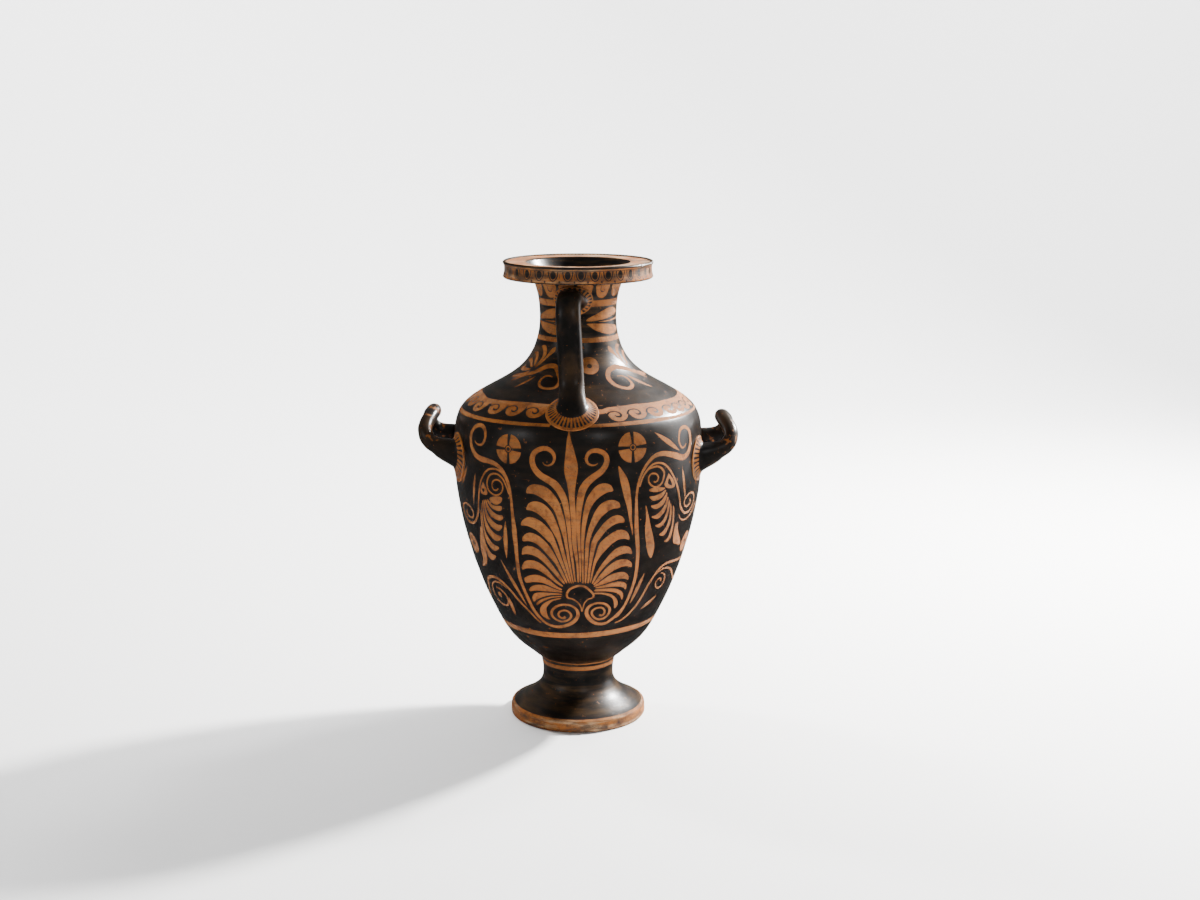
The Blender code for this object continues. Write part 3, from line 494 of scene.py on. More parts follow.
shoulderFronds = [
    ([(-31, 371.6), (-36, 370), (-40, 365.6), (-44, 360.6), (-48, 356.4), (-51.6, 352.6)], [(-31, 367.4),
     (-35, 364.8), (-40, 361), (-45, 356.4), (-50.4, 352)]),
    ([(-57, 370.8), (-52, 372.3), (-47.5, 371.6), (-44.5, 368.5), (-43.2, 364.5), (-44.9, 360.6),
     (-48.5, 356.6), (-52.2, 353.2)], [(-56, 370), (-52, 368.2), (-49.2, 364.5), (-48.8, 360.4),
     (-50.4, 356.6), (-53, 353)]),
    ([(-69.5, 363.9), (-64, 365.3), (-59.5, 364.6), (-55.8, 361), (-54.2, 357.4), (-53.8, 353.6)],
     [(-68.5, 363.2), (-63.5, 362.2), (-60.5, 359.8), (-58.3, 356.8), (-55.0, 353)]),
    ([(-75, 357), (-69, 358.8), (-65, 357.6), (-61.4, 355.2), (-56.2, 352.6)], [(-74, 356), (-68, 355.2),
     (-64, 353.6), (-60.5, 352), (-56.4, 351.6)]),
    ([(-76.5, 350), (-70, 350.8), (-65, 350.0), (-57, 350.4)], [(-76, 347.8), (-70, 347.2), (-65, 347.4),
     (-57, 349.4)]),
    ([(-74, 342.4), (-68, 344.6), (-62, 346.2), (-56.4, 348.6)], [(-73, 340.8), (-67, 341.4), (-61, 343.9),
     (-56, 347.4)]),
]


def shoulder():
    # fronds spread both ways from the handle, a long scroll at either side and a dotted disc
    for upper, lower in shoulderFronds:
        leaf(upper, lower, 1.0, 1.0)
    for upper, lower in shoulderFronds[:3] + shoulderFronds[5:]:
        leaf(mirrored(upper, 6.5), mirrored(lower, 6.5), 1.0, 1.0)
    stroke([(-66, 339), (-60, 343.2), (-54, 346), (-47.6, 348), (-42, 351), (-36.6, 353.6), (-31.1, 355),
            (-25.6, 354.7), (-21.2, 351.5), (-17.6, 347), (-15.8, 343), (-17.4, 339), (-20.1, 337.6),
            (-25.6, 337.2), (-30, 338.1), (-33.3, 340.4), (-34.1, 343.3), (-32.2, 345.8), (-28.4, 346.8),
            (-24, 346.2)], (2.0, 4.0, 4.6, 5.4, 5.4, 5.0, 4.6, 3.6, 3.2, 2.8, 2.4, 1.2))
    stroke([(78, 340), (70, 345), (62, 348.6), (55, 351), (44.3, 353.2), (38.9, 352.5), (33.4, 351.1),
            (30.1, 348.4), (28.4, 345), (29.3, 341.6), (32.3, 338.5), (36.7, 336.5), (41.6, 336.1),
            (46, 337.6), (48.2, 339.9), (47.9, 343.3), (44.9, 345.3), (41.6, 345.8), (38.3, 345.8)], (2.0,
            4.0, 5.0, 5.4, 5.2, 4.8, 4.6, 4.4, 3.8, 2.4, 0.8))
    dart((-42.1, 345.3), (-53.1, 335), 2.9)
    dart((50.9, 345.6), (64.6, 333.6), 5.0)
    dottedDisc((12.6, 355.5), 9.3, 2.3)


def neck():
    # two stripes, a pair of long leaves for each quarter turn, and hanging tongues under the lip
    band(409.5, 415.5)
    band(376.0, 380.5)
    upperLeaf = ([(11.9, 396.6), (17, 399.3), (27.2, 402.2), (37.5, 405), (47.7, 407), (57.9, 407.6),
                  (68, 406.4), (76, 403)],
                 [(19, 395.8), (32.4, 396.5), (47.7, 397.6), (57.9, 399.0), (68, 400.4)])
    lowerLeaf = ([(13.4, 393.6), (32.4, 393.3), (52.8, 391.9), (70, 389.8), (78, 386.4)],
                 [(17, 391.2), (24.2, 387.7), (32.4, 385.5), (40.5, 383.8), (52.8, 382.6), (68, 383.2)])
    for turn in (0, -90, -180, -270):
        for upper, lower in (upperLeaf, lowerLeaf):
            leaf(moved(upper, turn), moved(lower, turn))
        stroke(moved([(32, 395.0), (50, 395.1), (80, 396.4)], turn), (0.4, 1.2, 1.6))
    for a in [62, 35, 9, -15, -41, -67, 80.5, *np.linspace(-261, -93, 7)]:
        wide = 7.2 if a == 80.5 else 9.6
        leaf([(a - wide, 430.4), (a - wide, 424), (a - 0.72 * wide, 419.4), (a, 417.4)],
             [(a + wide, 430.4), (a + wide, 424), (a + 0.72 * wide, 419.4)])
        stroke([(a - 0.35 * wide, 429.6), (a - 0.3 * wide, 424.6), (a + 0.2 * wide, 423.4), (a + 0.3 * wide,
                426.2)], (0.5, 1.1, 1.0, 0.6), 0.0)


fascia = (outside[:, 0] > 0.0702) & (outside[:, 1] > 0.4345) & (outside[:, 1] < 0.4487)


def lipLength(z):
    # length along the profile to a height on the lip's edge
    return np.interp(np.asarray(z) / 1000, outside[fascia, 1], alongWall[fascia])


eggs = [-65.5, -54, -42, -30.5, -19, -7.7, 2.2, 12.7, 23.2, 33.6, 43.4, 53.3, 63, 73, 83.2]
eggs += list(np.linspace(-266, -76.5, 18))


def lipEgg(a):
    # one egg of the lip's row: a black oval, a clay band, a thin black loop round it and a dot between
    turn = np.linspace(0, 2 * np.pi, 18, endpoint=False)
    addOutline(np.radians(a + 2.2 * np.cos(turn)), lipLength(442.2 + 3.7 * np.sin(turn)), 0.0)
    t = np.linspace(0, np.pi, 15)
    loop = np.stack([np.radians(a - 4.2 * np.cos(t)), lipLength(445.6 - 9.0 * np.sin(t))], 1)
    inner = np.stack([np.radians(a - 3.3 * np.cos(t)), lipLength(445.6 - 8.2 * np.sin(t))], 1)
    both = np.concatenate([loop, inner[::-1]])
    addOutline(both[:, 0], both[:, 1], 0.12)
    small = turn[::3]
    addOutline(np.radians(a + 5.1 + 0.7 * np.cos(small)), lipLength(436.2 + 1.2 * np.sin(small)), 0.0)
    addOutline(np.radians(a + 5.1 + 0.22 * np.cos(small)), lipLength(441.6 + 2.8 * np.sin(small)), 0.1)


def lipAndFoot():
    # clay grounds on the lip's edge and top with a fine line and the eggs, the foot's edge, two stem stripes
    top = int(np.argmax(outside[:, 1]))
    inward = top + int(np.argmax(outside[top:, 0] < 0.0687))
    ring(lipLength(434.6), lipLength(447.6), 1.0)
    ring(alongWall[inward], alongWall[-1] - 0.0022, 1.0)
    ring(lipLength(445.8), lipLength(446.35), 0.1)
    for a in eggs:
        lipEgg(a)
    ring(0.0001, wallLength(12.4), 1.0)
    band(59.1, 60.3)
    band(52.4, 56.6)


bellyFront()
shoulder()
# the back is the front mirrored about the plane through the carrying handles
painted += [(np.stack([-math.pi - outline[::-1, 0], outline[::-1, 1]], 1), paint)
            for outline, paint in painted]
bellyBands()
neck()
lipAndFoot()
print("ornament drawn,", len(painted), "outlines")


# The skin of the jar: triangles that keep every painted outline as an edge, turned onto the profile.

skinForm = {"rowStep": 0.0048, "turnStep": 0.14, "crowding": 0.6, "sliver": 0.0015, "weld": 2e-6}


def insideOutline(points, outline):
    # even-odd test of many points against one closed outline
    x, y = points[:, :1], points[:, 1:]
    a, b = outline, np.roll(outline, -1, 0)
    crosses = (a[:, 1] > y) != (b[:, 1] > y)
    rise = np.where(b[:, 1] == a[:, 1], 1e-12, b[:, 1] - a[:, 1])
    at = a[:, 0] + (y - a[:, 1]) / rise * (b[:, 0] - a[:, 0])
    return np.sum(crosses & (x < at), 1) % 2 == 1


def decoratedSkin():
    # flat map (azimuth x 100, length in mm) cut by the outlines, its rows close where the profile turns
    # sharply; each triangle takes the paint of the last outline that its middle is in
    azimuths = np.radians(np.linspace(slit - 360, slit, columns + 1)) * 100
    turnRate = np.hypot(*np.gradient(slope, alongWall, axis=0).T)
    density = np.maximum(1 / skinForm["rowStep"], turnRate[1:] / skinForm["turnStep"])
    wanted = np.cumsum(np.concatenate([[0], np.diff(alongWall) * density]))
    rows = np.interp(np.linspace(0, wanted[-1], int(wanted[-1]) + 1), wanted, alongWall) * 1000
    gridU, gridV = np.meshgrid(azimuths, rows)
    grid = np.stack([gridU.ravel(), gridV.ravel()], 1)
    drawn = np.vstack([outline for outline, _ in painted]) * (100, 1000)
    # grid points in or beside a small square that holds a point of an outline are left out
    stride = 100000
    cells, gridCells = ((np.floor(p / skinForm["crowding"]).astype(np.int64) * (1, stride)).sum(1)
                        for p in (drawn, grid))
    beside = [across + up * stride for across in (-1, 0, 1) for up in (-1, 0, 1)]
    crowded = np.any([np.isin(gridCells + shift, cells) for shift in beside], 0)
    border = (gridU == azimuths[0]) | (gridU == azimuths[-1]) | (gridV == rows[0]) | (gridV == rows[-1])
    points = [Vector(p) for p in grid[~crowded | border.ravel()].tolist()]
    edges = []
    for outline, _ in painted:
        first = len(points)
        flat = np.stack([outline[:, 0] * 100, outline[:, 1] * 1000], 1)
        points += [Vector(p) for p in flat.tolist()]
        count = len(flat)
        edges += [(first + k, first + (k + 1) % count) for k in range(count)]
    made = delaunay_2d_cdt(points, edges, [], 0, 1e-4, False)
    flat = np.array([tuple(p) for p in made[0]])
    faces = np.array(made[2], int)
    a, b, c = flat[faces[:, 0]], flat[faces[:, 1]], flat[faces[:, 2]]
    area = (b[:, 0] - a[:, 0]) * (c[:, 1] - a[:, 1]) - (b[:, 1] - a[:, 1]) * (c[:, 0] - a[:, 0])
    spans = np.ptp(flat[faces], axis=1)
    faces = faces[(area > 1e-7) & (spans.min(1) > skinForm["sliver"])]
    centres = flat[faces].mean(1) / (100, 1000)
    paint = np.zeros(len(faces))
    for outline, value in painted:
        low, high = outline.min(0), outline.max(0)
        near = np.nonzero(np.all((centres > low) & (centres < high), 1))[0]
        if len(near):
            paint[near[insideOutline(centres[near], outline)]] = value
    return flat / (100, 1000), faces, paint


def onProfile(profile, along, flow, where):
    # points and normals on the turned profile at (azimuth, length)
    azimuth, length = where.T
    radius, height = np.interp(length, along, profile[:, 0]), np.interp(length, along, profile[:, 1])
    nr, nz = np.interp(length, along, flow[:, 1]), -np.interp(length, along, flow[:, 0])
    size = np.hypot(nr, nz)
    points = np.stack([radius * np.sin(azimuth), -radius * np.cos(azimuth), height], 1)
    return points, np.stack([nr * np.sin(azimuth), -nr * np.cos(azimuth), nz], 1) / size[:, None]


def plainSkin(name, step):
    # a turned surface with no ornament, as a grid of azimuth and length
    profile = throughPoints(jar[name], step) / 1000
    along = np.concatenate([[0], np.cumsum(np.hypot(*np.diff(profile, axis=0).T))])
    flow = np.gradient(profile, along, axis=0)
    flow /= np.hypot(*flow.T)[:, None]
    azimuths = np.radians(np.linspace(slit - 360, slit, columns + 1))
    gridA, gridS = np.meshgrid(azimuths, along)
    where = np.stack([gridA.ravel(), gridS.ravel()], 1)
    points, normals = onProfile(profile, along, flow, where)
    n = columns + 1
    k = (np.arange(len(along) - 1)[:, None] * n + np.arange(columns)).ravel()
    faces = np.concatenate([np.stack([k, k + 1, k + n + 1], 1), np.stack([k, k + n + 1, k + n], 1)])
    points[np.hypot(points[:, 0], points[:, 1]) < 0.0001, :2] = 0
    return points, normals, faces, where, along[-1]


def turnedJar():
    # the ornamented outside, the throat and the underside in one mesh, welded where their points meet
    where, faces, paint = decoratedSkin()
    points, normals = onProfile(outside, alongWall, slope, where)
    turn = (where[:, 0] - math.radians(slit - 360)) / (2 * math.pi)
    uv = 0.002 + 0.996 * np.stack([turn, where[:, 1] / alongWall[-1] * 0.79], 1)
    allPoints, allNormals, allUv, allFaces, allPaint = [points], [normals], [uv], [faces], [paint]
    for name, step, low, high in (("throat", 4.0, 0.80, 0.94), ("underside", 2.0, 0.95, 0.998)):
        p, n, f, w, total = plainSkin(name, step)
        offset = sum(len(x) for x in allPoints)
        x = (w[:, 0] - math.radians(slit - 360)) / (2 * math.pi)
        allUv.append(np.stack([0.002 + 0.996 * x, low + w[:, 1] / total * (high - low)], 1))
        allPoints.append(p)
        allNormals.append(n)
        allFaces.append(f + offset)
        middle = p[f].mean(1)[:, 2]
        allPaint.append(np.where((name == "underside") | (middle < 0.372), 0.9, 0.0))
    points, normals, uv = np.vstack(allPoints), np.vstack(allNormals), np.vstack(allUv)
    faces, paint = np.vstack(allFaces), np.concatenate(allPaint)
    key = np.round(points / skinForm["weld"]).astype(np.int64)
    _, first, same = np.unique(key, axis=0, return_index=True, return_inverse=True)
    same = same.ravel()
    welded = same[faces]
    sound = (welded[:, 0] != welded[:, 1]) & (welded[:, 1] != welded[:, 2]) & (welded[:, 0] != welded[:, 2])
    welded, faces, paint = welded[sound], faces[sound], paint[sound]
    return meshPiece("hydria_body", points[first], welded, normals[first], paint, uv[faces])


def meshPiece(name, points, faces, normals, paint, uv=None):
    # a mesh object from arrays; paint is given per face or per vertex, by its length
    mesh = bpy.data.meshes.new(name)
    mesh.from_pydata(points.tolist(), [], faces.tolist())
    perFace = len(paint) == len(faces) and len(paint) != len(points)
    layer = mesh.attributes.new("paint", "FLOAT", "FACE" if perFace else "POINT")
    layer.data.foreach_set("value", paint.astype(np.float32))
    if uv is not None:
        layer = mesh.uv_layers.new(name="OFBake")
        layer.uv.foreach_set("vector", uv.reshape(-1, 2).astype(np.float32).ravel())
    mesh.shade_smooth()
    if normals is not None:
        mesh.normals_split_custom_set_from_vertices(normals.tolist())
    mesh.update()
    piece = bpy.data.objects.new(name, mesh)
    bpy.context.scene.collection.objects.link(piece)
    return piece


body = turnedJar()
print("body turned,", len(body.data.polygons), "triangles")


# Handles: rings lofted along a path, with a collar that follows the wall and carries painted tongues.

handleForm = {
    "sides": 120, "collarRows": 14, "collarLift": 1.2, "rootLift": 5.0, "keyDepth": 2.4,
    "uprightSection": (11.6, 7.7), "uprightReach": 78.6, "uprightTop": (-7.2, 415.8),
    "uprightFoot": (-3.1, 323.2), "uprightTopCollar": (19.0, 14.5), "uprightTopRoot": (12.2, 9.2),
    "uprightFootCollar": (23.7, 22.5), "uprightFootRoot": (12.8, 13.0), "uprightFootDrop": 3.0,
    "uprightSteps": 5, "uprightCorner": 0.88, "uprightTongues": (24, 40),
    "sideRadius": 6.8, "sideRoot": (11.2, 13.3), "sideHalfSpread": 36.0, "sideReach": 26.2,
    "sideSteps": 4, "sideCorner": 0.92, "sideTongues": (24, 24), "bodyRadius": 119.8,
    # height of the roots, rise of the bow, half sizes of the collar, its drop, and the side of the jar
    "left": (270.4, 34.2, (20.5, 24.0), 4.2, -1), "right": (266.8, 32.4, (19.8, 21.5), 1.5, 1),
}

# along the upright handle: share of the reach out, share of the drop
uprightRun = [(0.262, -0.025), (0.461, -0.053), (0.661, -0.046), (0.823, -0.002), (0.930, 0.078),
        (0.980, 0.197), (1.000, 0.336), (1.030, 0.519), (1.085, 0.691), (1.185, 0.820)]

# along half a bow: share of the reach out, of the half spread, of the rise, and of the thinning
sideRun = [(0.31, 1.00, 0.125, 0.42), (0.55, 0.985, 0.205, 0.76), (0.78, 0.95, 0.30, 0.90), (0.925, 0.89,
        0.43, 0.96), (1.00, 0.775, 0.600, 1.0), (0.95, 0.57, 0.765, 1.0), (0.82, 0.30, 0.92, 1.0), (0.733,
        0.0, 1.00, 1.0)]

turns = 2 * np.pi * np.arange(handleForm["sides"]) / handleForm["sides"]


def wallPlace(azimuth, length, lift):
    # points on the outer wall at azimuth and length, lifted along its outward normal
    radius, height = np.interp(length, alongWall, outside[:, 0]), np.interp(length, alongWall, outside[:, 1])
    nr, nz = np.interp(length, alongWall, slope[:, 1]), -np.interp(length, alongWall, slope[:, 0])
    radius, height = radius + lift * nr, height + lift * nz
    return np.stack([radius * np.sin(azimuth), -radius * np.cos(azimuth), height], -1)


def rootRing(root, size, lift, drop=0.0):
    # an oval round the root that follows the wall
    azimuth, length = root["azimuth"], root["length"]
    sideways = root["lateral"] * size[0] / 1000 * np.cos(turns) / wallRadius(length)
    upwards = root["up"] * size[1] / 1000 * np.sin(turns) - drop / 1000
    return wallPlace(azimuth + sideways, length + upwards, lift / 1000)


def pathRing(centre, lateral, normal, size, corner):
    # an oval across the handle, squared a little
    across = np.sign(np.cos(turns)) * np.abs(np.cos(turns)) ** corner
    upright = np.sign(np.sin(turns)) * np.abs(np.sin(turns)) ** corner
    return centre + size[0] / 1000 * across[:, None] * lateral + size[1] / 1000 * upright[:, None] * normal


def ringRun(rings, steps):
    # Catmull-Rom rings through the given ones
    r = np.array(rings)
    k = np.concatenate([2 * r[:1] - r[1:2], r, 2 * r[-1:] - r[-2:-1]])
    t = (np.arange(steps) / steps)[None, :, None, None]
    run = between(k[:-3, None], k[1:-2, None], k[2:-1, None], k[3:, None], t)
    return np.concatenate([run.reshape(-1, *r.shape[1:]), r[-1:]])


def collarRings(root):
    # rings from the key inside the wall, over the collar's rounded edge, up its skirt to the root
    collar, neckSize, drop = np.array(root["collar"]), np.array(root["size"]), root["drop"]
    lift, rootLift, deep = handleForm["collarLift"], handleForm["rootLift"], handleForm["keyDepth"]
    rings = [rootRing(root, 0.96 * collar, -deep, drop), rootRing(root, 0.995 * collar, -0.4, drop),
             rootRing(root, collar, 0.35, drop), rootRing(root, 0.99 * collar, 0.9, drop)]
    marks = [-1.0, -1.0, 1.0, 0.99]
    for share in np.linspace(0.97, 0.0, handleForm["collarRows"], endpoint=False):
        rise = lift + (rootLift - lift) * (1 - share) ** 2
        rings.append(rootRing(root, neckSize + share * (collar - neckSize), rise, share * drop))
        marks.append(share)
    return rings, marks


def tonguePaint(share, tongues):
    # black on the handle itself, clay on the collar's rim, and between them black tongues on clay, wide or
    # narrow by the share of the way from the root to the rim
    if share <= 0.1:
        return np.zeros(len(turns))
    if share >= 0.84:
        return np.ones(len(turns))
    phase = np.abs(((turns * tongues / (2 * np.pi)) % 1) - 0.5) * 2
    half = np.interp(share, [0.12, 0.3, 0.6, 0.74, 0.80, 0.84], [0.34, 0.36, 0.50, 0.56, 0.42, -0.4])
    return np.clip(0.5 + 1.6 * (phase - half), 0, 1)


def handlePiece(name, roots, centres, sizes, lateralOf, steps, corner, mirror, tongues):
    # a closed handle: collar, path and collar, with its paint per vertex
    rings = [rootRing(roots[0], roots[0]["size"], handleForm["rootLift"])]
    for i, centre in enumerate(centres):
        tangent = centres[min(i + 1, len(centres) - 1)] - centres[max(i - 1, 0)]
        tangent = tangent / np.linalg.norm(tangent)
        lateral = lateralOf(centre, tangent)
        lateral = lateral - lateral.dot(tangent) * tangent
        lateral = lateral / np.linalg.norm(lateral)
        rings.append(pathRing(centre, lateral, np.cross(lateral, tangent), sizes[i], corner))
    rings.append(rootRing(roots[1], roots[1]["size"], handleForm["rootLift"]))
    near, nearMarks = collarRings(roots[0])
    far, farMarks = collarRings(roots[1])
    middle = ringRun(rings, steps)
    allRings = np.concatenate([near, middle, far[::-1]])
    paint = [tonguePaint(m, tongues[0]) for m in nearMarks] + [np.zeros(len(turns))] * len(middle)
    paint += [tonguePaint(m, tongues[1]) for m in farMarks[::-1]]
    sides, count = len(turns), len(allRings)
    tips = [wallPlace(r["azimuth"], r["length"], -handleForm["keyDepth"] / 1000) for r in roots]
    points = np.vstack([allRings.reshape(-1, 3), tips]) * (mirror, 1, 1)
    k = np.arange(count - 1)[:, None] * sides
    j = np.arange(sides)
    n = (j + 1) % sides
    quads = np.stack([k + j, k + n, k + sides + n, k + sides + j], -1).reshape(-1, 4)
    faces = np.concatenate([quads[:, [0, 1, 2]], quads[:, [0, 2, 3]],
                            np.stack([n, j, np.full(sides, count * sides)], 1),
                            np.stack([(count - 1) * sides + j, (count - 1) * sides + n,
                                      np.full(sides, count * sides + 1)], 1)])
    a, b, c = points[faces[:, 0]], points[faces[:, 1]], points[faces[:, 2]]
    if np.sum(a * np.cross(b, c)) < 0:
        faces = faces[:, ::-1]
    return meshPiece(name, points, faces, None, np.concatenate([np.concatenate(paint), [0.9, 0.9]]))


def uprightHandle():
    # its path from under the lip to the shoulder, as shares of its reach and of its drop
    form = handleForm
    tops, foots = form["uprightTop"], form["uprightFoot"]
    top = {"azimuth": math.radians(tops[0]), "length": float(wallLength(tops[1])), "lateral": -1, "up": 1,
           "collar": form["uprightTopCollar"], "size": form["uprightTopRoot"], "drop": 0.0}
    foot = {"azimuth": math.radians(foots[0]), "length": float(wallLength(foots[1])), "lateral": -1, "up": -1,
            "collar": form["uprightFootCollar"], "size": form["uprightFootRoot"],
            "drop": form["uprightFootDrop"]}
    topRadius, topHeight = wallRadius(top["length"]), tops[1] / 1000
    centres = []
    for out, down in uprightRun:
        azimuth = math.radians(tops[0] + min(max(down, 0), 1) * (foots[0] - tops[0]))
        radius = topRadius + out * (form["uprightReach"] / 1000 - topRadius)
        height = topHeight - down * (topHeight - foots[1] / 1000)
        centres.append(np.array([radius * math.sin(azimuth), -radius * math.cos(azimuth), height]))
    return handlePiece("hydria_upright_handle", (top, foot), centres, [form["uprightSection"]] * len(centres),
                       lambda c, t: np.array([c[1], -c[0], 0.0]),
                       form["uprightSteps"], form["uprightCorner"], 1, form["uprightTongues"])


def carryingHandle(name, rootHeight, rise, collar, drop, mirror):
    # a bow between two roots: its path as shares of reach, half spread and rise, thinner away from the roots
    form = handleForm
    length = float(wallLength(rootHeight))
    spread = math.asin(form["sideHalfSpread"] / form["bodyRadius"])
    shares = [(x, -y, z, thin) for x, y, z, thin in sideRun] + sideRun[-2::-1]
    middle = form["bodyRadius"]
    bow = [(middle + x * form["sideReach"], y * form["sideHalfSpread"], rootHeight + z * rise)
           for x, y, z, _ in shares]
    centres = [np.array(point) / 1000 for point in bow]
    sizes = [tuple(r + thin * (form["sideRadius"] - r) for r in form["sideRoot"]) for *_, thin in shares]
    roots = [{"azimuth": 0.5 * math.pi + end * spread, "length": length, "lateral": end, "up": 1,
              "collar": collar, "size": form["sideRoot"], "drop": drop} for end in (-1, 1)]
    return handlePiece(name, roots, centres, sizes, lambda c, t: np.cross(t, [0.0, 0.0, 1.0]),
                       form["sideSteps"], form["sideCorner"], mirror, form["sideTongues"])


handles = [uprightHandle(),
           carryingHandle("hydria_left_carrying_handle", *handleForm["left"]),
           carryingHandle("hydria_right_carrying_handle", *handleForm["right"])]
print("handles luted on")


# Finish: bare clay and black gloss in one material, told apart by the painted attribute.


class Sock:
    # a node socket that takes part in plain arithmetic
    def __init__(self, tree, out):
        self.tree, self.out = tree, out

    def maths(self, operation, *values):
        return node(self.tree, "ShaderNodeMath", {"operation": operation}, dict(enumerate(values)))

    def __add__(self, other):
        return self.maths("ADD", self, other)

    def __sub__(self, other):
        return self.maths("SUBTRACT", self, other)

    def __mul__(self, other):
        return self.maths("MULTIPLY", self, other)

    def __rsub__(self, other):
        return self.maths("SUBTRACT", other, self)

    def held(self):
        return node(self.tree, "ShaderNodeClamp", {}, {"Value": self})

    __radd__, __rmul__ = __add__, __mul__


def node(tree, kind, settings, values, output=0):
    # adds one node: its settings first, then the values or links of its sockets
    made = tree.nodes.new(kind)
    for key, value in settings.items():
        if key == "stops":
            while len(made.color_ramp.elements) < len(value):
                made.color_ramp.elements.new(0.5)
            for element, (position, shade) in zip(made.color_ramp.elements, value):
                element.position, element.color = position, (shade, shade, shade, 1)
        else:
            setattr(made, key, value)
    for key, value in values.items():
        if isinstance(value, Sock):
            tree.links.new(value.out, made.inputs[key])
        else:
            made.inputs[key].default_value = value
    return Sock(tree, made.outputs[output])


def noise(tree, where, scale, detail=4.0, rough=0.55, stretch=(1, 1, 1)):
    # soft noise at object coordinates times the stretch
    spread = node(tree, "ShaderNodeVectorMath", {"operation": "MULTIPLY"}, {0: where, 1: stretch})
    return node(tree, "ShaderNodeTexNoise", {}, {"Vector": spread, "Scale": scale, "Detail": detail,
            "Roughness": rough})


def ramp(tree, value, *stops):
    # a value read through grey stops (position, level)
    return node(tree, "ShaderNodeValToRGB", {"stops": stops}, {0: value})


def mixed(tree, share, a, b):
    # colour a where the share is 0, colour b where it is 1
    full = [v if isinstance(v, Sock) else (*v, 1.0) for v in (a, b)]
    return node(tree, "ShaderNodeMix", {"data_type": "RGBA"}, {0: share, 6: full[0], 7: full[1]}, 2)


finish = {
    "clayWarm": (0.262, 0.076, 0.010), "clayPale": (0.335, 0.120, 0.024), "clayDeep": (0.115, 0.034, 0.007),
    "buff": (0.44, 0.31, 0.18), "gloss": (0.0062, 0.0046, 0.0040), "glossBrown": (0.052, 0.028, 0.011),
    "clayOlive": (0.170, 0.078, 0.024), "glossGrey": (0.018, 0.0158, 0.0155), "grime": (0.060, 0.036, 0.022),
    # middle of each dark chip in metres, and its reach
    "chips": (((0.026, -0.0605, 0.004), 0.0044), ((0.0395, -0.053, 0.006), 0.0044),
              ((0.065, 0.040, 0.449), 0.0045)),
    "specular": 0.32, "bumpStrength": 0.16, "bumpDepth": 0.0006,
}


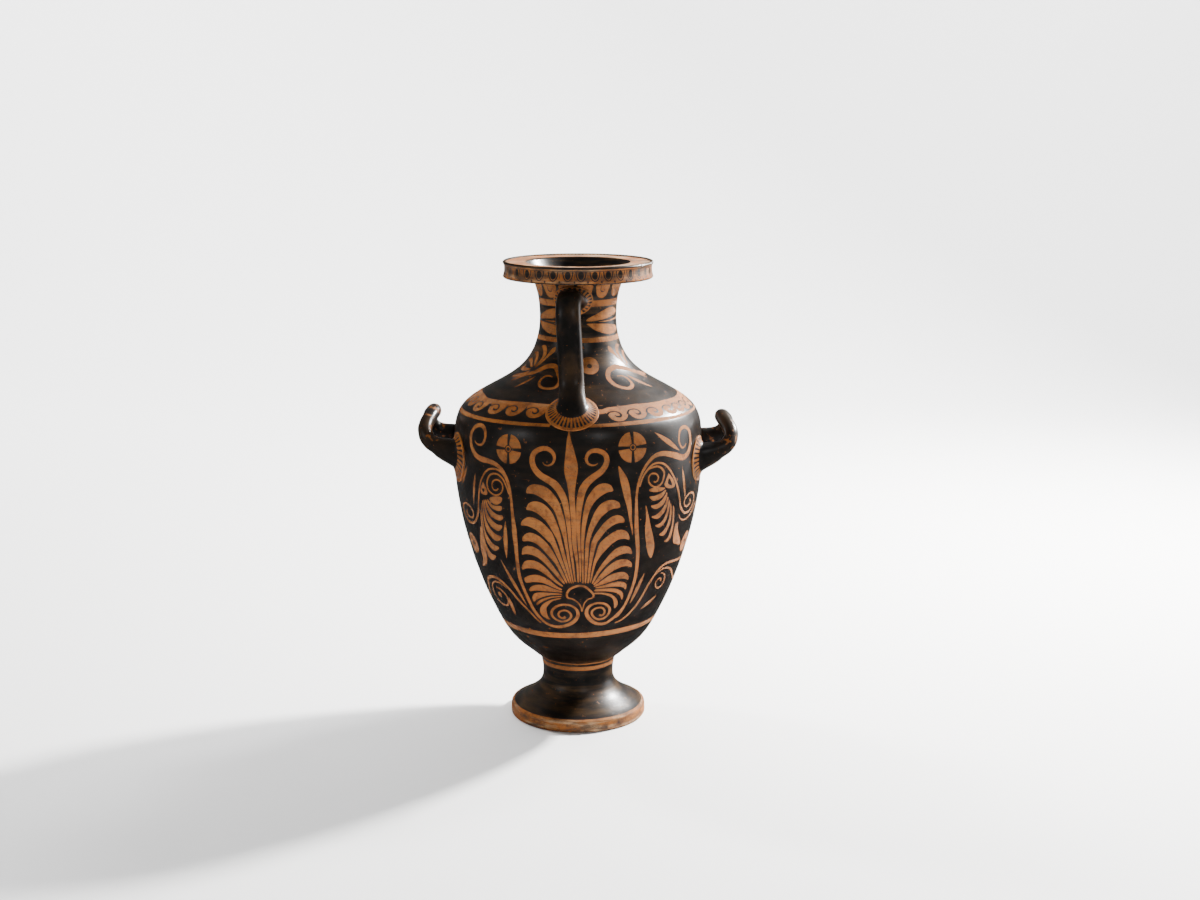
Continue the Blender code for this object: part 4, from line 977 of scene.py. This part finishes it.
def glossAndClay(name, wheelMarks):
    # black where the paint is 0 and clay where it is 1, frayed along the edge; chips, dots and scratches bare
    # the clay; wheelMarks: how strongly the level throwing lines show, none on the hand-built handles
    material = bpy.data.materials.new(name)
    material.use_nodes = True
    tree = material.node_tree
    shader = tree.nodes["Principled BSDF"]
    place = node(tree, "ShaderNodeTexCoord", {}, {}, 3)
    height = node(tree, "ShaderNodeSeparateXYZ", {}, {0: place}, 2)
    paint = node(tree, "ShaderNodeAttribute", {"attribute_name": "paint"}, {}, 2)
    broad, middling = noise(tree, place, 9.0), noise(tree, place, 34.0, 5.0)
    fine, grain = noise(tree, place, 160.0, 6.0), noise(tree, place, 620.0, 3.0, 0.7)
    turned = noise(tree, place, 22.0, 4.0, 0.6, (1, 1, 1 + 8 * wheelMarks))

    frayed = (noise(tree, place, 420.0, 3.0) - 0.5) * 0.9
    clayMask = ((paint - 0.5 + frayed * (1 - (paint * 2 - 1) * (paint * 2 - 1))) * 3.2 + 0.5).held()
    chips = ramp(tree, fine, (0.655, 0.0), (0.69, 1.0)) * ramp(tree, middling, (0.50, 0.0), (0.58, 1.0))
    dots = ramp(tree, noise(tree, place, 480.0, 2.0, 0.4), (0.72, 0.0), (0.76, 1.0))
    flecks = ramp(tree, noise(tree, place, 700.0, 3.0), (0.63, 0.0), (0.67, 1.0))
    scratches = ramp(tree, noise(tree, place, 60.0, 3.0, 0.5, (1, 1, 14)), (0.735, 0.0), (0.76, 1.0))
    # black worn through to the clay on the bows of the carrying handles, most on the outer bend
    across = node(tree, "ShaderNodeSeparateXYZ", {}, {0: place}, 0)
    outward = node(tree, "ShaderNodeMath", {"operation": "ABSOLUTE"}, {0: across})
    worn = ramp(tree, fine, (0.56, 0.0), (0.60, 1.0)) * ramp(tree, middling, (0.46, 0.0), (0.52, 1.0))
    worn = worn * ramp(tree, outward, (0.124, 0.0), (0.134, 1.0)) * (1 - wheelMarks)
    bare = (chips * 0.8 + dots * 0.7 + scratches * 0.6 + worn * 0.75).held() * (1 - clayMask)
    clayMask = (clayMask * (1 - flecks * 0.62) + bare).held()

    clay = mixed(tree, ramp(tree, broad, (0.38, 0.0), (0.66, 1.0)), finish["clayWarm"], finish["clayPale"])
    clay = mixed(tree, ramp(tree, middling, (0.50, 0.0), (0.72, 0.75)), clay, finish["clayDeep"])
    drawn = noise(tree, place, 46.0, 5.0, 0.65, (1, 1, 1 + 11 * wheelMarks))
    clay = mixed(tree, ramp(tree, drawn, (0.44, 0.0), (0.60, 0.65)), clay, finish["clayOlive"])
    clay = mixed(tree, ramp(tree, grain, (0.45, 0.0), (0.85, 0.5)), clay, finish["clayPale"])
    mottle = ramp(tree, noise(tree, place, 95.0, 6.0, 0.7), (0.50, 0.0), (0.66, 0.8))
    clay = mixed(tree, mottle, clay, finish["clayDeep"])
    low, lip = ramp(tree, height, (0.010, 1.0), (0.018, 0.0)), ramp(tree, height, (0.428, 0.0), (0.434, 1.0))
    clay = mixed(tree, ramp(tree, turned, (0.50, 0.0), (0.64, 0.7)) * (low + lip * 0.6).held(), clay,
            finish["buff"])

    grime = ramp(tree, noise(tree, place, 55.0, 6.0, 0.65, (1, 1, 3)), (0.46, 0.0), (0.62, 0.85))
    clay = mixed(tree, grime * (low + lip).held(), clay, finish["grime"])

    brownish = ramp(tree, height, (0.320, 0.0), (0.365, 0.9)) + ramp(tree, height, (0.050, 0.8), (0.075, 0.0))
    brownish = brownish + 0.14 + ramp(tree, outward, (0.124, 0.0), (0.136, 0.3))
    black = mixed(tree, (ramp(tree, turned, (0.44, 0.0), (0.66, 1.0)) * brownish).held(), finish["gloss"],
                  finish["glossBrown"])
    black = mixed(tree, ramp(tree, middling, (0.50, 0.0), (0.80, 0.8)), black, finish["glossGrey"])

    colour = mixed(tree, clayMask, black, clay)
    for middle, reach in finish["chips"]:
        away = node(tree, "ShaderNodeVectorMath", {"operation": "DISTANCE"}, {0: place, 1: middle}, 1)
        edge = away + (fine - 0.5) * 0.012
        colour = mixed(tree, ramp(tree, edge, (reach * 0.7, 0.85), (reach, 0.0)), colour, finish["glossGrey"])
    tree.links.new(colour.out, shader.inputs["Base Color"])
    roughness = 0.20 + clayMask * 0.48 + broad * 0.12 + fine * 0.10
    tree.links.new(roughness.out, shader.inputs["Roughness"])
    relief = grain * 0.5 + fine * 0.6 + turned * 0.8 + drawn * 0.4 + clayMask * -0.3
    bump = node(tree, "ShaderNodeBump", {}, {"Strength": finish["bumpStrength"],
                "Distance": finish["bumpDepth"], "Height": relief})
    tree.links.new(bump.out, shader.inputs["Normal"])
    shader.inputs["Metallic"].default_value = 0.0
    shader.inputs["Specular IOR Level"].default_value = finish["specular"]
    return material


thrownSurface, modelledSurface = glossAndClay("thrown_surface", 1.0), glossAndClay("modelled_surface", 0.0)
for piece in [body, *handles]:
    piece.data.materials.append(thrownSurface if piece is body else modelledSurface)
    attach(piece, "root")
    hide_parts("hydria")
print("finish laid on")


# Stage: a pale floor swept up behind, soft lights, and the camera at the photo's angle.

stageForm = {
    "camera": (0.0, -1.64764, 0.60827), "pitch": 11.752, "lens": 51.94, "shiftX": 0.0183,
    "floorShade": (0.90, 0.90, 0.90), "floorFront": -4.0, "floorHalfWidth": 5.0,
    "wallAt": 2.8, "wallHigh": 4.5, "bend": 1.2, "roomLight": 0.13,
}

lights = {
    # place, aim, size, power, colour, and whether the glaze mirrors it
    "key_right": ((1.15, 0.72, 1.15), (0, 0, 0.24), 0.17, 175, (1.0, 0.985, 0.96), True),
    "sheen_right": ((1.55, 0.55, 0.5), (0, 0, 0.26), 1.2, 16, (1, 1, 1), True),
    "fill_left": ((-1.9, -1.2, 1.2), (0, 0, 0.25), 0.7, 5, (1, 1, 1), True),
    "fill_front": ((0.9, -2.4, 1.7), (0, 0, 0.25), 0.6, 5, (1, 1, 1), True),
    "overhead": ((0.0, 0.1, 2.6), (0, 0, 0), 1.8, 8, (1, 1, 1), False),
    "wall_left": ((-1.7, 1.6, 2.6), (-0.5, 2.8, 0.9), 0.8, 182, (1, 1, 1), False),
    "wall_right": ((1.7, 1.6, 2.6), (0.5, 2.8, 0.9), 0.8, 176, (1, 1, 1), False),
}


def sweptFloor():
    # a profile of floor, quarter circle and back wall, drawn out sideways
    form = stageForm
    t = np.linspace(0, math.pi / 2, 24)
    back, bend = form["wallAt"], form["bend"]
    y = np.concatenate([[form["floorFront"]], back - bend * (1 - np.sin(t)), [back]])
    z = np.concatenate([[0.0], bend * (1 - np.cos(t)), [form["wallHigh"]]])
    x = np.array([-1, 1]) * form["floorHalfWidth"]
    points = np.stack([np.repeat(x[None], len(y), 0), np.repeat(y[:, None], 2, 1), np.repeat(z[:, None], 2,
            1)], -1)
    k = 2 * np.arange(len(y) - 1)
    mesh = bpy.data.meshes.new("pale_floor")
    mesh.from_pydata(points.reshape(-1, 3).tolist(), [], np.stack([k, k + 1, k + 3, k + 2], 1).tolist())
    mesh.shade_smooth()
    floor = bpy.data.objects.new("pale_floor", mesh)
    bpy.context.scene.collection.objects.link(floor)
    material = bpy.data.materials.new("pale_floor")
    material.use_nodes = True
    shader = material.node_tree.nodes["Principled BSDF"]
    shader.inputs["Base Color"].default_value = (*stageForm["floorShade"], 1)
    shader.inputs["Roughness"].default_value = 0.85
    shader.inputs["Specular IOR Level"].default_value = 0.1
    mesh.materials.append(material)
    floor.visible_glossy = False


def softLight(name, place, aim, size, power, shade, shines):
    # a round light turned to its aim
    data = bpy.data.lights.new(name, "AREA")
    data.shape, data.size, data.energy, data.color = "DISK", size, power, shade
    light = bpy.data.objects.new(name, data)
    light.location = place
    light.visible_glossy = shines
    light.rotation_euler = (Vector(aim) - Vector(place)).to_track_quat("-Z", "Y").to_euler()
    bpy.context.scene.collection.objects.link(light)


sweptFloor()
for name, settings in lights.items():
    softLight(name, *settings)
world = bpy.data.worlds.new("soft_room")
world.use_nodes = True
world.node_tree.nodes["Background"].inputs["Color"].default_value = (1, 1, 1, 1)
world.node_tree.nodes["Background"].inputs["Strength"].default_value = stageForm["roomLight"]
bpy.context.scene.world = world

cameraData = bpy.data.cameras.new("camera")
cameraData.lens, cameraData.shift_x = stageForm["lens"], stageForm["shiftX"]
camera = bpy.data.objects.new("camera", cameraData)
camera.location = stageForm["camera"]
camera.rotation_euler = (math.radians(90 - stageForm["pitch"]), 0, 0)
bpy.context.scene.collection.objects.link(camera)
bpy.context.scene.camera = camera
print("stage set")
